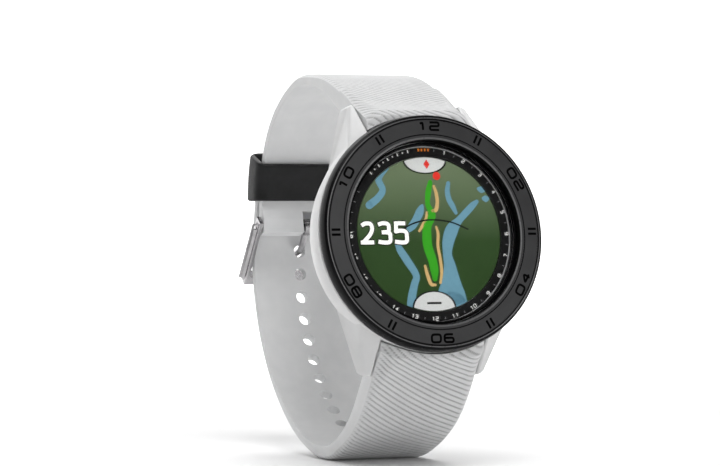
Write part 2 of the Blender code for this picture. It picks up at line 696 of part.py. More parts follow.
def make_tail_strap():
    start = Vector((BAR_Y, -BAR_Z))
    before = start - (Vector(TAIL_BENDS[0]) - start).normalized() * LEAD_TAIL
    bends = [before, start, *TAIL_BENDS]
    bends += [arc_point(TAIL_ARC_R, degrees) for degrees in TAIL_ARC_ANGLES]
    path = smooth_path(bends, STRAP_STEP)
    strap = strap_loft(
        "tail_strap", path, -1, TAIL_WIDTHS, TAIL_THICKNESSES, TAIL_LEAD_OUT, TAIL_EDGE_DROPS, tip=TAIL_TIP
    )
    for cutter in bar_block(-1):
        cut(strap, cutter)
    holes = bmesh.new()
    for centre, normal in hole_places():
        inner = centre - normal * 4.0
        outer = centre + normal * 4.0
        rod_shape(holes, (0.0, *inner), (0.0, *outer), HOLE_R, 14)
    cut(strap, from_bmesh("cut_strap_holes", holes, cutter=True))


def hole_places():
    """The tail's adjustment holes, as (centre, normal): the tang is in the first, at TANG_HOLE_Z."""
    bends = [(BAR_Y, -BAR_Z), *TAIL_BENDS]
    bends += [arc_point(TAIL_ARC_R, degrees) for degrees in TAIL_ARC_ANGLES]
    path = smooth_path(bends, 0.1)
    normals = path_normals(path)
    tang = min(range(len(path) // 2, len(path)), key=lambda i: abs(path[i][0].y - TANG_HOLE_Z))
    for number in range(HOLES_BELOW_TANG + 1):
        target = path[tang][1] - number * HOLE_PITCH
        index = min(range(len(path)), key=lambda i: abs(path[i][1] - target))
        yield path[index][0], normals[index]


# ---------------------------------------------------------------- keeper and buckle


def make_keeper():
    """A rubber loop round both layers, modelled about the centre of the strap's arc and turned into place."""
    inner = BUCKLE_STRAP_ARC_R - STRAP_THIN / 2 - KEEPER_FIT
    outer = TAIL_ARC_R + STRAP_THIN / 2 + KEEPER_FIT
    half_wide = BUCKLE_END_HALF_WIDTH + KEEPER_FIT
    half_turn = KEEPER_HALF_LENGTH / ((inner + outer) / 2)

    def bent_block(name, low, high, half_x, half_angle, look=None, cutter=False, bevel=0.0):
        made = bmesh.new()
        steps = 6
        rings = []
        for i in range(steps + 1):
            angle = half_angle * (2 * i / steps - 1)
            rings.append([
                made.verts.new((x, radius * math.cos(angle), radius * math.sin(angle)))
                for x, radius in ((-half_x, low), (half_x, low), (half_x, high), (-half_x, high))
            ])
        for first, second in zip(rings, rings[1:]):
            for i in range(4):
                j = (i + 1) % 4
                made.faces.new((first[i], first[j], second[j], second[i]))
        made.faces.new(rings[0])
        made.faces.new(rings[-1])
        if bevel:
            bmesh.ops.recalc_face_normals(made, faces=made.faces)
            corners = [edge for edge in made.edges if abs(edge.verts[0].co.x - edge.verts[1].co.x) < 0.01
                       and abs(edge.verts[0].co.yz.length - edge.verts[1].co.yz.length) < 0.01]
            bmesh.ops.bevel(made, geom=corners, offset=bevel, segments=3, affect="EDGES")
        return from_bmesh(name, made, look, cutter)

    wall = KEEPER_WALL
    keeper = bent_block(
        "keeper_loop", inner - wall, outer + wall, half_wide + wall, half_turn, black_rubber(), bevel=1.4
    )
    space = bent_block("cut_keeper_space", inner, outer, half_wide, half_turn * 1.4, cutter=True)
    cut(keeper, space)
    for piece in (keeper, space):
        place(piece, 0.0, *KEEPER_ARC_CENTRE)
        piece.rotation_euler = (KEEPER_ANGLE, 0.0, 0.0)


def make_buckle():
    pin = pin_centre()
    tube = rod("buckle_bar_tube", (-9.4, *pin), (9.4, *pin), BUCKLE_BAR_R, steel())
    cut(tube, rod("cut_buckle_tube_bore", (-12.0, *pin), (12.0, *pin), 0.5, cutter=True))
    for side, label in ((-1, "left"), (1, "right")):
        rod(f"buckle_bar_tip_{label}", (side * 6.4, *pin), (side * 11.9, *pin), 0.4, steel())
    coil("buckle_bar_spring", (-5.0, *pin), (5.0, *pin), 0.3, 0.08, 7, steel())
    make_buckle_frame(pin)
    make_tang(pin)


def make_buckle_frame(pin):
    """The frame lies about its pin: two flat arms joined by a bowed cross bar, as one bent outline."""
    outer = ARM_INNER_X + ARM_THICK
    arm = bmesh.new()
    bmesh.ops.create_cube(arm, size=1.0)
    size = Matrix.Diagonal((2 * outer, ARM_LENGTH + 2.9, ARM_DEPTH, 1.0))
    middle = Matrix.Translation((0.0, (ARM_LENGTH - 0.9) / 2, 0.0))
    bmesh.ops.transform(arm, verts=arm.verts, matrix=middle @ size)
    corners = [edge for edge in arm.edges if abs(edge.verts[0].co.x - edge.verts[1].co.x) < 0.01]
    bmesh.ops.bevel(arm, geom=corners, offset=1.1, segments=3, affect="EDGES")
    frame = from_bmesh("buckle_frame", arm, steel())
    window = box("cut_frame_window", (-ARM_INNER_X, -5.0, -4.0), (ARM_INNER_X, ARM_LENGTH - 0.9, 4.0), cutter=True)
    holes = rod("cut_frame_holes", (-12.2, 0.0, 0.0), (12.2, 0.0, 0.0), 0.5, cutter=True)
    for piece in (window, holes):
        cut(frame, piece)
    for piece in (frame, window, holes):
        place(piece, 0.0, *pin)
        piece.rotation_euler = (ARM_ANGLE, 0.0, 0.0)


def make_tang(pin):
    """The tang: an eye on the bar, and a wire that curves through the strap to the cross bar."""
    curve = bpy.data.curves.new("buckle_tang", "CURVE")
    curve.dimensions = "3D"
    curve.bevel_depth = TANG_R * MM
    curve.bevel_resolution = 2
    curve.use_fill_caps = True
    path = smooth_path(TANG_PATH, 1.0)
    spline = curve.splines.new("POLY")
    spline.points.add(len(path) - 1)
    for point, (where, _) in zip(spline.points, path):
        point.co = (0.0, where.x * MM, where.y * MM, 1.0)
    helper = bpy.data.objects.new("tang_curve", curve)
    parts.objects.link(helper)
    mesh = bpy.data.meshes.new_from_object(helper.evaluated_get(bpy.context.evaluated_depsgraph_get()))
    bpy.data.objects.remove(helper)
    made = bmesh.new()
    made.from_mesh(mesh)
    bmesh.ops.remove_doubles(made, verts=made.verts, dist=0.000001)
    bmesh.ops.transform(made, matrix=Matrix.Scale(1 / MM, 4), verts=made.verts)
    tang = from_bmesh("buckle_tang", made, steel())
    eye = rod("cut_tang_eye", (-1.1, 0.0, 0.0), (1.1, 0.0, 0.0), 1.75, cutter=True, segments=20)
    bore = rod("cut_tang_bore", (-3.0, 0.0, 0.0), (3.0, 0.0, 0.0), BUCKLE_BAR_R + 0.1, cutter=True)
    cut(tang, eye, "UNION")
    cut(tang, bore)
    for piece in (tang, eye, bore):
        place(piece, 0.0, *pin)


# ---------------------------------------------------------------- scene


def clear_scene():
    for piece in list(bpy.data.objects):
        bpy.data.objects.remove(piece)
    for group in list(bpy.data.collections):
        bpy.data.collections.remove(group)


def new_collection(name):
    group = bpy.data.collections.new(name)
    bpy.context.scene.collection.children.link(group)
    return group


def new_watch_frame():
    """The empty that every piece hangs from: it leans back, with the wrist's middle at the origin."""
    frame = bpy.data.objects.new("watch_frame", None)
    frame.rotation_euler = (-LEAN, 0.0, 0.0)
    frame.location = Matrix.Rotation(-LEAN, 3, "X") @ Vector((0.0, *WRIST_CENTRE)) * -MM
    parts.objects.link(frame)
    return frame


def main():
    global parts, cutters, watch_frame
    clear_scene()
    parts = new_collection(COLLECTION)
    cutters = new_collection("cutters")
    watch_frame = new_watch_frame()
    make_case()
    make_bezel_and_lens()
    make_inside()
    make_rear()
    make_key()
    make_buckle_strap()
    make_tail_strap()
    make_bar(1)
    make_bar(-1)
    make_keeper()
    make_buckle()
    for piece in parts.objects:
        if piece.type == "MESH":
            shade_smooth(piece)


main()
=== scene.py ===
"""Looks of a round golf GPS watch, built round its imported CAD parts.

Shapes are drawn in millimetres in the dial's own frame: X to 3 o'clock, Z to 12 o'clock and Y to
the wrist, from the centre of the dial. A height is -Y. DIAL turns that frame into the row's.
"""

import json
import math

import bmesh
import bpy
from mathutils import Matrix, Vector


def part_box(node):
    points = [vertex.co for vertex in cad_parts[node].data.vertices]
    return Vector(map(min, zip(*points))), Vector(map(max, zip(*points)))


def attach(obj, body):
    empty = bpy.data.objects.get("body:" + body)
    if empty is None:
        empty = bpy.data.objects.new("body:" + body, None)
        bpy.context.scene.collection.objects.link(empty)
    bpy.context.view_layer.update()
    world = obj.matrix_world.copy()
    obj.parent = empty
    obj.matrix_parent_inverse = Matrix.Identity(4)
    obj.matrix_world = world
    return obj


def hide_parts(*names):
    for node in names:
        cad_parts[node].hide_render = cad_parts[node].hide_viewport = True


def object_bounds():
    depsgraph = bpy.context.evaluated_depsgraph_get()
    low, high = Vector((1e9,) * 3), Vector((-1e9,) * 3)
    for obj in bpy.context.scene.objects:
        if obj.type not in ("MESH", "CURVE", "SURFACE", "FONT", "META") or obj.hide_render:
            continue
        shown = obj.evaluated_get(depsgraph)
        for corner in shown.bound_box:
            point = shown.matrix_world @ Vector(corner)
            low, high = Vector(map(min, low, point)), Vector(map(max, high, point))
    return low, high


MM = 0.001
WATCH = "watch"

# Bezel and dial.
BEZEL_PROFILE = (
    (17.8, 0.05), (17.8, 2.36), (17.86, 2.5), (17.98, 2.57), (18.35, 2.6), (18.75, 2.58), (18.8, 2.48),
    (18.95, 2.48), (19.0, 2.55), (21.72, 2.41), (21.8, 2.26), (22.02, 2.24), (22.08, 2.36), (22.28, 2.35),
    (22.42, 2.3), (22.72, 2.05), (22.85, 1.7), (22.95, 1.2), (23.0, 0.7), (23.0, 0.1), (22.95, 0.0),
    (22.85, -0.04), (17.9, -0.04),
)
BEZEL_FACE = (19.0, 2.55, 21.72, 2.41)
# Radius bands of the bezel painted near black: painted shade in its two grooves and on its inner and outer walls.
BEZEL_PAINTED_SHADE_BANDS = ((0.0, 17.97), (18.76, 18.98), (21.74, 22.06), (22.3, 30.0))
# Radius bands painted lighter grey: painted highlights along the bezel's inner rim and the flat beside its outer
# groove.
BEZEL_PAINTED_HIGHLIGHT_BANDS = ((17.97, 18.36), (22.06, 22.3))
NUMERAL_R = 20.55
NUMERAL_HEIGHT = 1.9
NUMERAL_WIDTH = 2.3
NUMERAL_STROKE = 0.42
BAR_LENGTH = 1.75
BAR_WIDTH = 0.44
BAR_OFFSET = 0.48
RING_H = -0.3
RING_NUMERAL_R = 16.42
RING_NUMERAL_HEIGHT = 0.82
RING_NUMERAL_WIDTH = 0.66
RING_PRINT = 0.01
HOLE_STEP_DEGREES = 15
LAST_UPRIGHT_HOLE = 5
EXTRA_TICKS = (277.5, 285.0, 292.5, 300.0, 7.5)
ORANGE_TICKS = (-4.0, -1.6, 0.8, 3.2)
SCALE_START = 316.0
SCALE_STEP = 4.0
DISPLAY_MIDDLE_DEPTH = 0.7
DISPLAY_H = -0.3
DISPLAY_EDGE_R = 14.93
LENS_CLEAR_R = 17.0
DISTANCE = "235"
DISTANCE_PLACE = (-9.5, 0.25)
DISTANCE_WIDTH = 3.2
DISTANCE_HEIGHT = 4.45
DISTANCE_STROKE = 0.78
DISTANCE_GAP = 0.25
DISTANCE_CORNER_R = 1.3
DISTANCE_OUTLINE = 0.36
PRINT_LIFT = 0.004
LAYER = 0.012
SCREEN_PRINT = 0.006
SCREEN_TOP_PRINT = 0.004

# Straps, as in the CAD: centre lines as (Y, Z), then half widths, thicknesses, the height of the outside
# near the case and the drop of its edges, each as (distance, value) stops.
BAR_Y = 6.9
BAR_Z = 23.6
KEEPER_ARC_CENTRE = (38.2, 13.0)
BUCKLE_STRAP_ARC_R = 23.5
TAIL_ARC_R = 26.5
STRAP_THIN = 2.1
INSIDE_HOLLOW = 0.04
PIN_ANGLE = math.radians(-4.4)
FAR = 999.0
BUCKLE_STRAP_BENDS = ((13.3, 28.2), (23.5, 34.1), (35.0, 37.1), (43.0, 36.1))
TAIL_BENDS = (
    (12.2, -28.9), (18.0, -33.7), (25.0, -37.0), (33.0, -38.7), (40.5, -37.5), (47.7, -34.2), (53.9, -29.6),
    (59.6, -23.5), (63.9, -16.8), (66.8, -9.6), (68.2, -2.4), (68.3, 4.2), (67.7, 9.0), (65.8, 13.4),
)
TAIL_ARC_ANGLES = (10.0, 16.0, 22.0, 28.0, 30.0)
BUCKLE_STRAP_WIDTHS = ((0.0, 10.85), (15.0, 10.85), (53.0, 10.5), (FAR, 10.5))
TAIL_WIDTHS = ((0.0, 10.85), (16.0, 10.85), (64.0, 10.3), (FAR, 10.3))
BUCKLE_STRAP_THICKNESSES = ((0.0, 4.8), (9.0, 4.8), (17.0, 4.1), (30.0, 2.7), (35.0, 2.1))
TAIL_THICKNESSES = ((0.0, 4.8), (10.0, 4.8), (20.0, 4.4), (33.0, 3.0), (53.0, 2.15), (70.0, 2.0), (FAR, 2.0))
LEAD_BUCKLE = 7.0
LEAD_TAIL = 8.0
BUCKLE_LEAD_OUT = ((0.0, 0.8), (2.0, 3.3), (3.5, 3.7), (7.0, 3.0), (10.0, 2.55), (13.0, 2.4), (17.0, 2.4))
TAIL_LEAD_OUT = (
    (0.0, 0.8), (2.0, 2.8), (4.0, 4.5), (6.0, 3.95), (8.0, 3.3), (11.0, 2.75), (14.0, 2.4), (20.0, 2.3),
)
BUCKLE_EDGE_DROPS = ((0.0, 1.6), (4.0, 1.6), (7.0, 1.2), (10.0, 0.9), (13.0, 0.7))
TAIL_EDGE_DROPS = ((0.0, 2.3), (5.0, 2.3), (8.0, 1.7), (11.0, 1.1), (14.0, 0.7))
EDGE_WIDTHS = ((0.0, 3.6), (5.0, 3.6), (14.0, 1.2))
TAIL_TIP = 5.0
HOLES_BELOW_TANG = 10
HOLE_PITCH = 5.0
HOLE_R = 1.3
TANG_HOLE_Z = 7.0
BAR_BORE_R = 1.05
PIN_BORE_R = 0.9

# Keeper, as in the CAD.
KEEPER_DEGREES = 19.5
KEEPER_HALF_LENGTH = 4.5
KEEPER_HALF_WIDTH = 10.75
KEEPER_WALL = 1.25
KEEPER_FIT = 0.25
KEEPER_CORNER_R = 2.6
KEEPER_RIM = 0.45

# Grooves moulded across the outside of the straps.
GROOVE_PITCH = 1.2
GROOVE_DEPTH = 0.24
GROOVE_HALF_WIDTH = 0.2
GROOVE_SLOPE = 0.58
GROOVE_BEND = 0.015
GROOVE_RIM = 0.7
GROOVE_FADE = 5.0
ROW_STEP = 0.15
ACROSS = 60


# ---------------------------------------------------------------- frame and meshes


def dial_matrix(joints):
    """Maps dial millimetres to the row frame, in metres."""
    up = Vector(joints["vibration_weight_spin"]["axis"]).normalized()
    right = Vector((1.0, 0.0, 0.0))
    inward = up.cross(right)
    low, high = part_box("display_panel")
    centre = (low + high) / 2 - inward * DISPLAY_MIDDLE_DEPTH * MM
    turn = Matrix((right, inward, up)).transposed().to_4x4()
    return Matrix.Translation(centre) @ turn @ Matrix.Scale(MM, 4)


def new_object(name, made):
    """Turns a bmesh in dial millimetres into an object in the row frame."""
    made.transform(DIAL)
    mesh = bpy.data.meshes.new(name)
    made.to_mesh(mesh)
    made.free()
    thing = bpy.data.objects.new(name, mesh)
    bpy.context.scene.collection.objects.link(thing)
    return thing


def smooth_by_angle(piece, degrees):
    piece.data.shade_smooth()
    piece.data.set_sharp_from_angle(angle=math.radians(degrees))


def add_piece(name, made, look, body=WATCH, replaces=(), smooth=35.0):
    """A piece that rides on a body, made from a bmesh in dial millimetres."""
    made.normal_update()
    piece = new_object(name, made)
    piece.data.materials.append(look)
    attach(piece, body)
    if smooth:
        smooth_by_angle(piece, smooth)
    if replaces:
        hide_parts(*replaces)
    return piece


def add_cutter(name, made):
    bmesh.ops.recalc_face_normals(made, faces=made.faces)
    return new_object(name, made)


def cut(piece, cutters):
    """Cuts the pieces away for good, and removes the cutters."""
    for cutter in cutters:
        boolean = piece.modifiers.new(cutter.name, "BOOLEAN")
        boolean.operation = "DIFFERENCE"
        boolean.object = cutter
    bpy.context.view_layer.update()
    graph = bpy.context.evaluated_depsgraph_get()
    mesh = bpy.data.meshes.new_from_object(piece.evaluated_get(graph), depsgraph=graph)
    piece.modifiers.clear()
    piece.data = mesh
    for cutter in cutters:
        bpy.data.objects.remove(cutter)


def rod_shape(made, start, end, radius, segments=32):
    start = Vector(start)
    along = Vector(end) - start
    turn = Vector((0.0, 0.0, 1.0)).rotation_difference(along).to_matrix().to_4x4()
    where = Matrix.Translation(start + along / 2) @ turn
    bmesh.ops.create_cone(
        made, cap_ends=True, segments=segments, radius1=radius, radius2=radius, depth=along.length,
        matrix=where,
    )


def box_shape(made, low, high):
    size = [b - a for a, b in zip(low, high)]
    middle = Matrix.Translation([(a + b) / 2 for a, b in zip(low, high)])
    bmesh.ops.create_cube(made, size=1.0, matrix=middle @ Matrix.Diagonal((*size, 1.0)))


def turned_shape(made, profile, segments):
    """Turns (radius, height) points round the dial's axis into a closed ring."""
    rings = []
    for i in range(segments):
        angle = 2 * math.pi * i / segments
        across, up = math.sin(angle), math.cos(angle)
        rings.append([made.verts.new((radius * across, -height, radius * up)) for radius, height in profile])
    for first, second in zip(rings, rings[1:] + rings[:1]):
        for i in range(len(profile)):
            j = (i + 1) % len(profile)
            made.faces.new((first[i], first[j], second[j], second[i]))
    bmesh.ops.recalc_face_normals(made, faces=made.faces)


def smooth_line(points, closed=False, steps=6):
    """A Catmull-Rom line through points of any dimension."""
    ends = [Vector(point) for point in points]
    if closed:
        ends = [ends[-1]] + ends + ends[:2]
    else:
        ends = [2 * ends[0] - ends[1]] + ends + [2 * ends[-1] - ends[-2]]
    line = []
    for before, start, end, after in zip(ends, ends[1:], ends[2:], ends[3:]):
        for i in range(steps):
            t = i / steps
            line.append(
                0.5 * (2 * start + (end - before) * t + (2 * before - 5 * start + 4 * end - after) * t * t
                       + (3 * start - before - 3 * end + after) * t * t * t)
            )
    if not closed:
        line.append(ends[-2])
    return line


# ---------------------------------------------------------------- materials


class Look:
    """A Principled material with helpers for procedural detail in metres, in the row frame."""

    def __init__(self, name, colour, roughness, metallic=0.0):
        self.material = bpy.data.materials.new(name)
        self.material.use_nodes = True
        self.nodes = self.material.node_tree.nodes
        self.links = self.material.node_tree.links
        self.shader = self.nodes["Principled BSDF"]
        self.shader.inputs["Base Color"].default_value = (*colour, 1.0)
        self.shader.inputs["Roughness"].default_value = roughness
        self.shader.inputs["Metallic"].default_value = metallic
        self.material.diffuse_color = (*colour, 1.0)
        self.place = self.nodes.new("ShaderNodeTexCoord").outputs["Object"]

    def set(self, **values):
        for name, value in values.items():
            self.shader.inputs[name.replace("_", " ")].default_value = value
        return self

    def noise(self, per_mm, detail=2.0, stretch=None):
        """Noise with about that many cells in a millimetre."""
        texture = self.nodes.new("ShaderNodeTexNoise")
        texture.inputs["Scale"].default_value = per_mm / MM
        texture.inputs["Detail"].default_value = detail
        place = self.place
        if stretch:
            mapping = self.nodes.new("ShaderNodeMapping")
            mapping.inputs["Scale"].default_value = stretch
            self.links.new(place, mapping.inputs["Vector"])
            place = mapping.outputs["Vector"]
        self.links.new(place, texture.inputs["Vector"])
        return texture.outputs["Fac"]

    def span(self, value, low, high, start=0.3, end=0.7):
        """Maps a value's start..end to low..high."""
        node = self.nodes.new("ShaderNodeMapRange")
        node.inputs["From Min"].default_value = start
        node.inputs["From Max"].default_value = end
        node.inputs["To Min"].default_value = low
        node.inputs["To Max"].default_value = high
        self.links.new(value, node.inputs["Value"])
        return node.outputs["Result"]

    def ramp(self, value, stops):
        node = self.nodes.new("ShaderNodeValToRGB")
        elements = node.color_ramp.elements
        while len(elements) < len(stops):
            elements.new(0.5)
        for element, (position, colour) in zip(elements, stops):
            element.position = position
            element.color = (*colour, 1.0)
        self.links.new(value, node.inputs["Fac"])
        return node.outputs["Color"]

    def colour(self, value, low, high):
        """Base colour that runs from low to high with a value."""
        self.links.new(self.ramp(value, ((0.3, low), (0.7, high))), self.shader.inputs["Base Color"])
        return self

    def darken(self, attribute, share):
        """Painted shade: takes that share off the base colour where a vertex attribute is 1."""
        read = self.nodes.new("ShaderNodeAttribute")
        read.attribute_name = attribute
        scale = self.nodes.new("ShaderNodeVectorMath")
        scale.operation = "SCALE"
        self.links.new(self.shader.inputs["Base Color"].links[0].from_socket, scale.inputs[0])
        self.links.new(self.span(read.outputs["Fac"], 1.0, 1.0 - share, 0.0, 1.0), scale.inputs["Scale"])
        self.links.new(scale.outputs["Vector"], self.shader.inputs["Base Color"])
        return self

    def rough(self, value, low, high):
        self.links.new(self.span(value, low, high), self.shader.inputs["Roughness"])
        return self

    def bump(self, value, height_mm, strength=1.0):
        node = self.nodes.new("ShaderNodeBump")
        node.inputs["Strength"].default_value = strength
        node.inputs["Distance"].default_value = height_mm * MM
        self.links.new(value, node.inputs["Height"])
        if self.shader.inputs["Normal"].links:
            self.links.new(self.shader.inputs["Normal"].links[0].from_socket, node.inputs["Normal"])
        self.links.new(node.outputs["Normal"], self.shader.inputs["Normal"])
        return self

    def from_dial(self):
        """Coordinates in dial millimetres."""
        inverse = DIAL.inverted()
        mapping = self.nodes.new("ShaderNodeMapping")
        place, turn, size = inverse.decompose()
        mapping.inputs["Location"].default_value = place
        mapping.inputs["Rotation"].default_value = turn.to_euler()
        mapping.inputs["Scale"].default_value = size
        self.links.new(self.place, mapping.inputs["Vector"])
        return mapping.outputs["Vector"]

    def dial_radius(self):
        split = self.nodes.new("ShaderNodeSeparateXYZ")
        flat = self.nodes.new("ShaderNodeCombineXYZ")
        length = self.nodes.new("ShaderNodeVectorMath")
        length.operation = "LENGTH"
        self.links.new(self.from_dial(), split.inputs["Vector"])
        self.links.new(split.outputs["X"], flat.inputs["X"])
        self.links.new(split.outputs["Z"], flat.inputs["Z"])
        self.links.new(flat.outputs["Vector"], length.inputs[0])
        return length.outputs["Value"]

    def dial_height(self):
        """The dial's Z, towards 12 o'clock, in millimetres."""
        split = self.nodes.new("ShaderNodeSeparateXYZ")
        self.links.new(self.from_dial(), split.inputs["Vector"])
        return split.outputs["Z"]


def plastic(name, low, high, roughness, grain=0.004):
    look = Look(name, high, roughness)
    look.colour(look.noise(0.25, 3.0), low, high)
    look.rough(look.noise(1.2, 3.0), roughness - 0.05, roughness + 0.06)
    look.bump(look.noise(9.0, 3.0), grain)
    return look


def metal(name, low, high, roughness, stretch=(1.0, 12.0, 12.0), grain=0.0012):
    look = Look(name, high, roughness, 1.0)
    look.colour(look.noise(0.6, 2.0), low, high)
    look.rough(look.noise(2.0, 3.0, stretch), max(0.03, roughness - 0.05), roughness + 0.07)
    look.bump(look.noise(5.0, 2.0, stretch), grain)
    return look


def print_look(name, colour, glow=0.0):
    """Printed ink with a slightly uneven, dry surface. Glow is painted light: an emission that keeps the ink
    bright under the glass.
    """
    look = Look(name, colour, 0.5)
    look.set(Specular_IOR_Level=0.1)
    darker = [value * 0.92 for value in colour]
    look.colour(look.noise(2.0, 2.0), darker, colour)
    look.bump(look.noise(14.0, 2.0), 0.002)
    if glow:
        look.set(Emission_Color=(*colour, 1.0), Emission_Strength=glow)
    return look.material


def make_looks():
    looks = {}
    polymer = plastic("satin_white_polymer", (0.7, 0.702, 0.705), (0.745, 0.745, 0.745), 0.42, 0.005)
    polymer.set(Coat_Weight=0.08, Coat_Roughness=0.3)
    looks["white_polymer"] = polymer.material

    silicone = plastic("matt_white_silicone", (0.71, 0.715, 0.72), (0.76, 0.762, 0.765), 0.58, 0.008)
    # Painted shade: the silicone is darkened in the bottom of each groove.
    silicone.darken("painted_groove_shade", 0.6)
    silicone.set(Subsurface_Weight=0.08, Subsurface_Radius=(0.0012, 0.0012, 0.0011), Subsurface_Scale=1.0)
    silicone.set(Sheen_Weight=0.12, Sheen_Roughness=0.5)
    looks["white_silicone"] = silicone.material

    rubber = plastic("satin_black_rubber", (0.012, 0.012, 0.012), (0.018, 0.018, 0.019), 0.5, 0.006)
    rubber.set(Specular_IOR_Level=0.2)
    looks["black_rubber"] = rubber.material
    black = plastic("matt_black_plastic", (0.006, 0.006, 0.006), (0.009, 0.009, 0.0095), 0.5, 0.001)
    looks["black_plastic"] = black.set(Specular_IOR_Level=0.12).material
    looks["steel"] = metal("polished_steel", (0.4, 0.39, 0.4), (0.52, 0.51, 0.52), 0.22).material
    looks["gold_plating"] = metal("gold_plating", (0.72, 0.5, 0.2), (0.9, 0.68, 0.32), 0.25).material
    tungsten = metal("sintered_tungsten", (0.2, 0.2, 0.21), (0.32, 0.32, 0.33), 0.45, (1, 1, 1), 0.006)
    looks["tungsten"] = tungsten.material
    foil = metal("crinkled_foil", (0.4, 0.42, 0.45), (0.62, 0.64, 0.66), 0.35, (1, 1, 1), 0.03)
    looks["battery_foil"] = foil.material
    looks["board_green"] = plastic("solder_mask", (0.008, 0.06, 0.02), (0.02, 0.12, 0.05), 0.4, 0.01).material
    antenna = plastic("unglazed_ceramic", (0.42, 0.34, 0.24), (0.58, 0.48, 0.36), 0.7, 0.01)
    looks["antenna_ceramic"] = antenna.material
    looks["diffuser_white"] = plastic("diffuser_white", (0.7, 0.71, 0.7), (0.82, 0.83, 0.82), 0.5).material

    ceramic = Look("dark_satin_ceramic", (0.03, 0.03, 0.032), 0.38)
    radius = ceramic.dial_radius()
    turning = ceramic.nodes.new("ShaderNodeTexNoise")
    turning.noise_dimensions = "1D"
    turning.inputs["Scale"].default_value = 7.0
    turning.inputs["Detail"].default_value = 3.0
    ceramic.links.new(radius, turning.inputs["W"])
    ceramic.colour(ceramic.noise(0.2, 2.0), (0.023, 0.023, 0.024), (0.03, 0.03, 0.031))
    ceramic.rough(turning.outputs["Fac"], 0.3, 0.46)
    ceramic.bump(turning.outputs["Fac"], 0.004)
    looks["grey_ceramic"] = ceramic.set(Specular_IOR_Level=0.35).material

    # Painted shade: a near-black copy of the ceramic for the bezel's grooves and walls.
    edge = Look("painted_shade_ceramic", (0.004, 0.004, 0.0045), 0.3)
    edge.rough(edge.noise(1.5, 3.0), 0.26, 0.36)
    edge.bump(edge.noise(6.0, 2.0), 0.001)
    looks["bezel_rim"] = edge.set(Specular_IOR_Level=0.1).material
    # Painted highlight: a lighter grey copy of the ceramic, a little glossier, for thin lines along the bezel's
    # edges.
    line = Look("painted_highlight_ceramic", (0.09, 0.09, 0.092), 0.3)
    line.rough(line.noise(1.5, 3.0), 0.25, 0.35)
    line.bump(line.noise(6.0, 2.0), 0.001)
    looks["bezel_line"] = line.material

    glass = Look("clear_cover_glass", (0.97, 0.99, 0.98), 0.02)
    glass.set(Transmission_Weight=1.0, IOR=1.45, Alpha=0.07)
    glass.bump(glass.noise(0.08, 1.0), 0.001)
    looks["cover_glass"] = glass.material

    # Painted light: the screen's colour runs lighter towards the top, where the light falls, and Emission makes it
    # glow so it stays bright under the glass, though it is no lamp.
    screen = Look("fairway_green_screen", (0.1, 0.14, 0.07), 0.45)
    height = screen.dial_height()
    painted_top_light = screen.ramp(
        screen.span(height, 0.0, 1.0, -15.0, 15.0),
        ((0.0, (0.02, 0.045, 0.012)), (0.45, (0.024, 0.05, 0.016)), (1.0, (0.125, 0.165, 0.095))),
    )
    screen.links.new(painted_top_light, screen.shader.inputs["Base Color"])
    screen.links.new(painted_top_light, screen.shader.inputs["Emission Color"])
    screen.set(Emission_Strength=0.45, Specular_IOR_Level=0.05)
    screen.bump(screen.noise(11.0, 2.0), 0.003)
    looks["display_green"] = screen.material

    fill = plastic("engraved_black_fill", (0.001, 0.001, 0.001), (0.002, 0.002, 0.002), 0.6, 0.001)
    looks["numeral_black"] = fill.set(Specular_IOR_Level=0.0).material
    # The last number given to a print is its painted glow, an emission that stands in for light.
    looks["print_white"] = print_look("dial_print_white", (0.82, 0.82, 0.8), 0.25)
    looks["print_grey"] = print_look("dial_print_grey", (0.3, 0.3, 0.31), 0.1)
    looks["print_orange"] = print_look("dial_print_orange", (0.85, 0.24, 0.03), 0.25)
    looks["screen_water"] = print_look("screen_water_blue", (0.11, 0.24, 0.31), 0.45)
    looks["screen_fairway"] = print_look("screen_fairway_green", (0.03, 0.27, 0.012), 0.45)
    looks["screen_sand"] = print_look("screen_sand", (0.5, 0.34, 0.14), 0.4)
    looks["screen_white"] = print_look("screen_digit_white", (0.82, 0.82, 0.78), 0.5)
    looks["screen_panel"] = print_look("screen_button_grey", (0.52, 0.53, 0.52), 0.45)
    looks["screen_black"] = print_look("screen_black", (0.01, 0.012, 0.01))
    looks["screen_red"] = print_look("screen_red", (0.6, 0.03, 0.02), 0.4)
    return looks


# ---------------------------------------------------------------- numerals

# Strokes on a grid one unit wide and one high, each (closed, points).
DIGITS = {
    "0": ((True, ((0, 0), (0, 1), (1, 1), (1, 0))),),
    "1": ((False, ((0.3, 0.82), (0.62, 1.0), (0.62, 0.0))),),
    "2": ((False, ((0, 1), (1, 1), (1, 0.5), (0, 0.5), (0, 0), (1, 0))),),
    "3": ((False, ((0, 1), (1, 1), (1, 0), (0, 0))), (False, ((0.25, 0.5), (1, 0.5)))),
    "4": ((False, ((0.75, 0), (0.75, 1), (0, 0.3), (1, 0.3))),),
    "5": ((False, ((1, 1), (0, 1), (0, 0.55), (1, 0.55), (1, 0), (0, 0))),),
    "6": ((False, ((0.95, 1), (0, 1), (0, 0), (1, 0), (1, 0.55), (0, 0.55))),),
    "7": ((False, ((0, 1), (1, 1), (0.35, 0))),),
    "8": ((True, ((0, 0), (0, 1), (1, 1), (1, 0))), (False, ((0, 0.52), (1, 0.52)))),
    "9": ((False, ((0.05, 0), (1, 0), (1, 1), (0, 1), (0, 0.45), (1, 0.45))),),
}


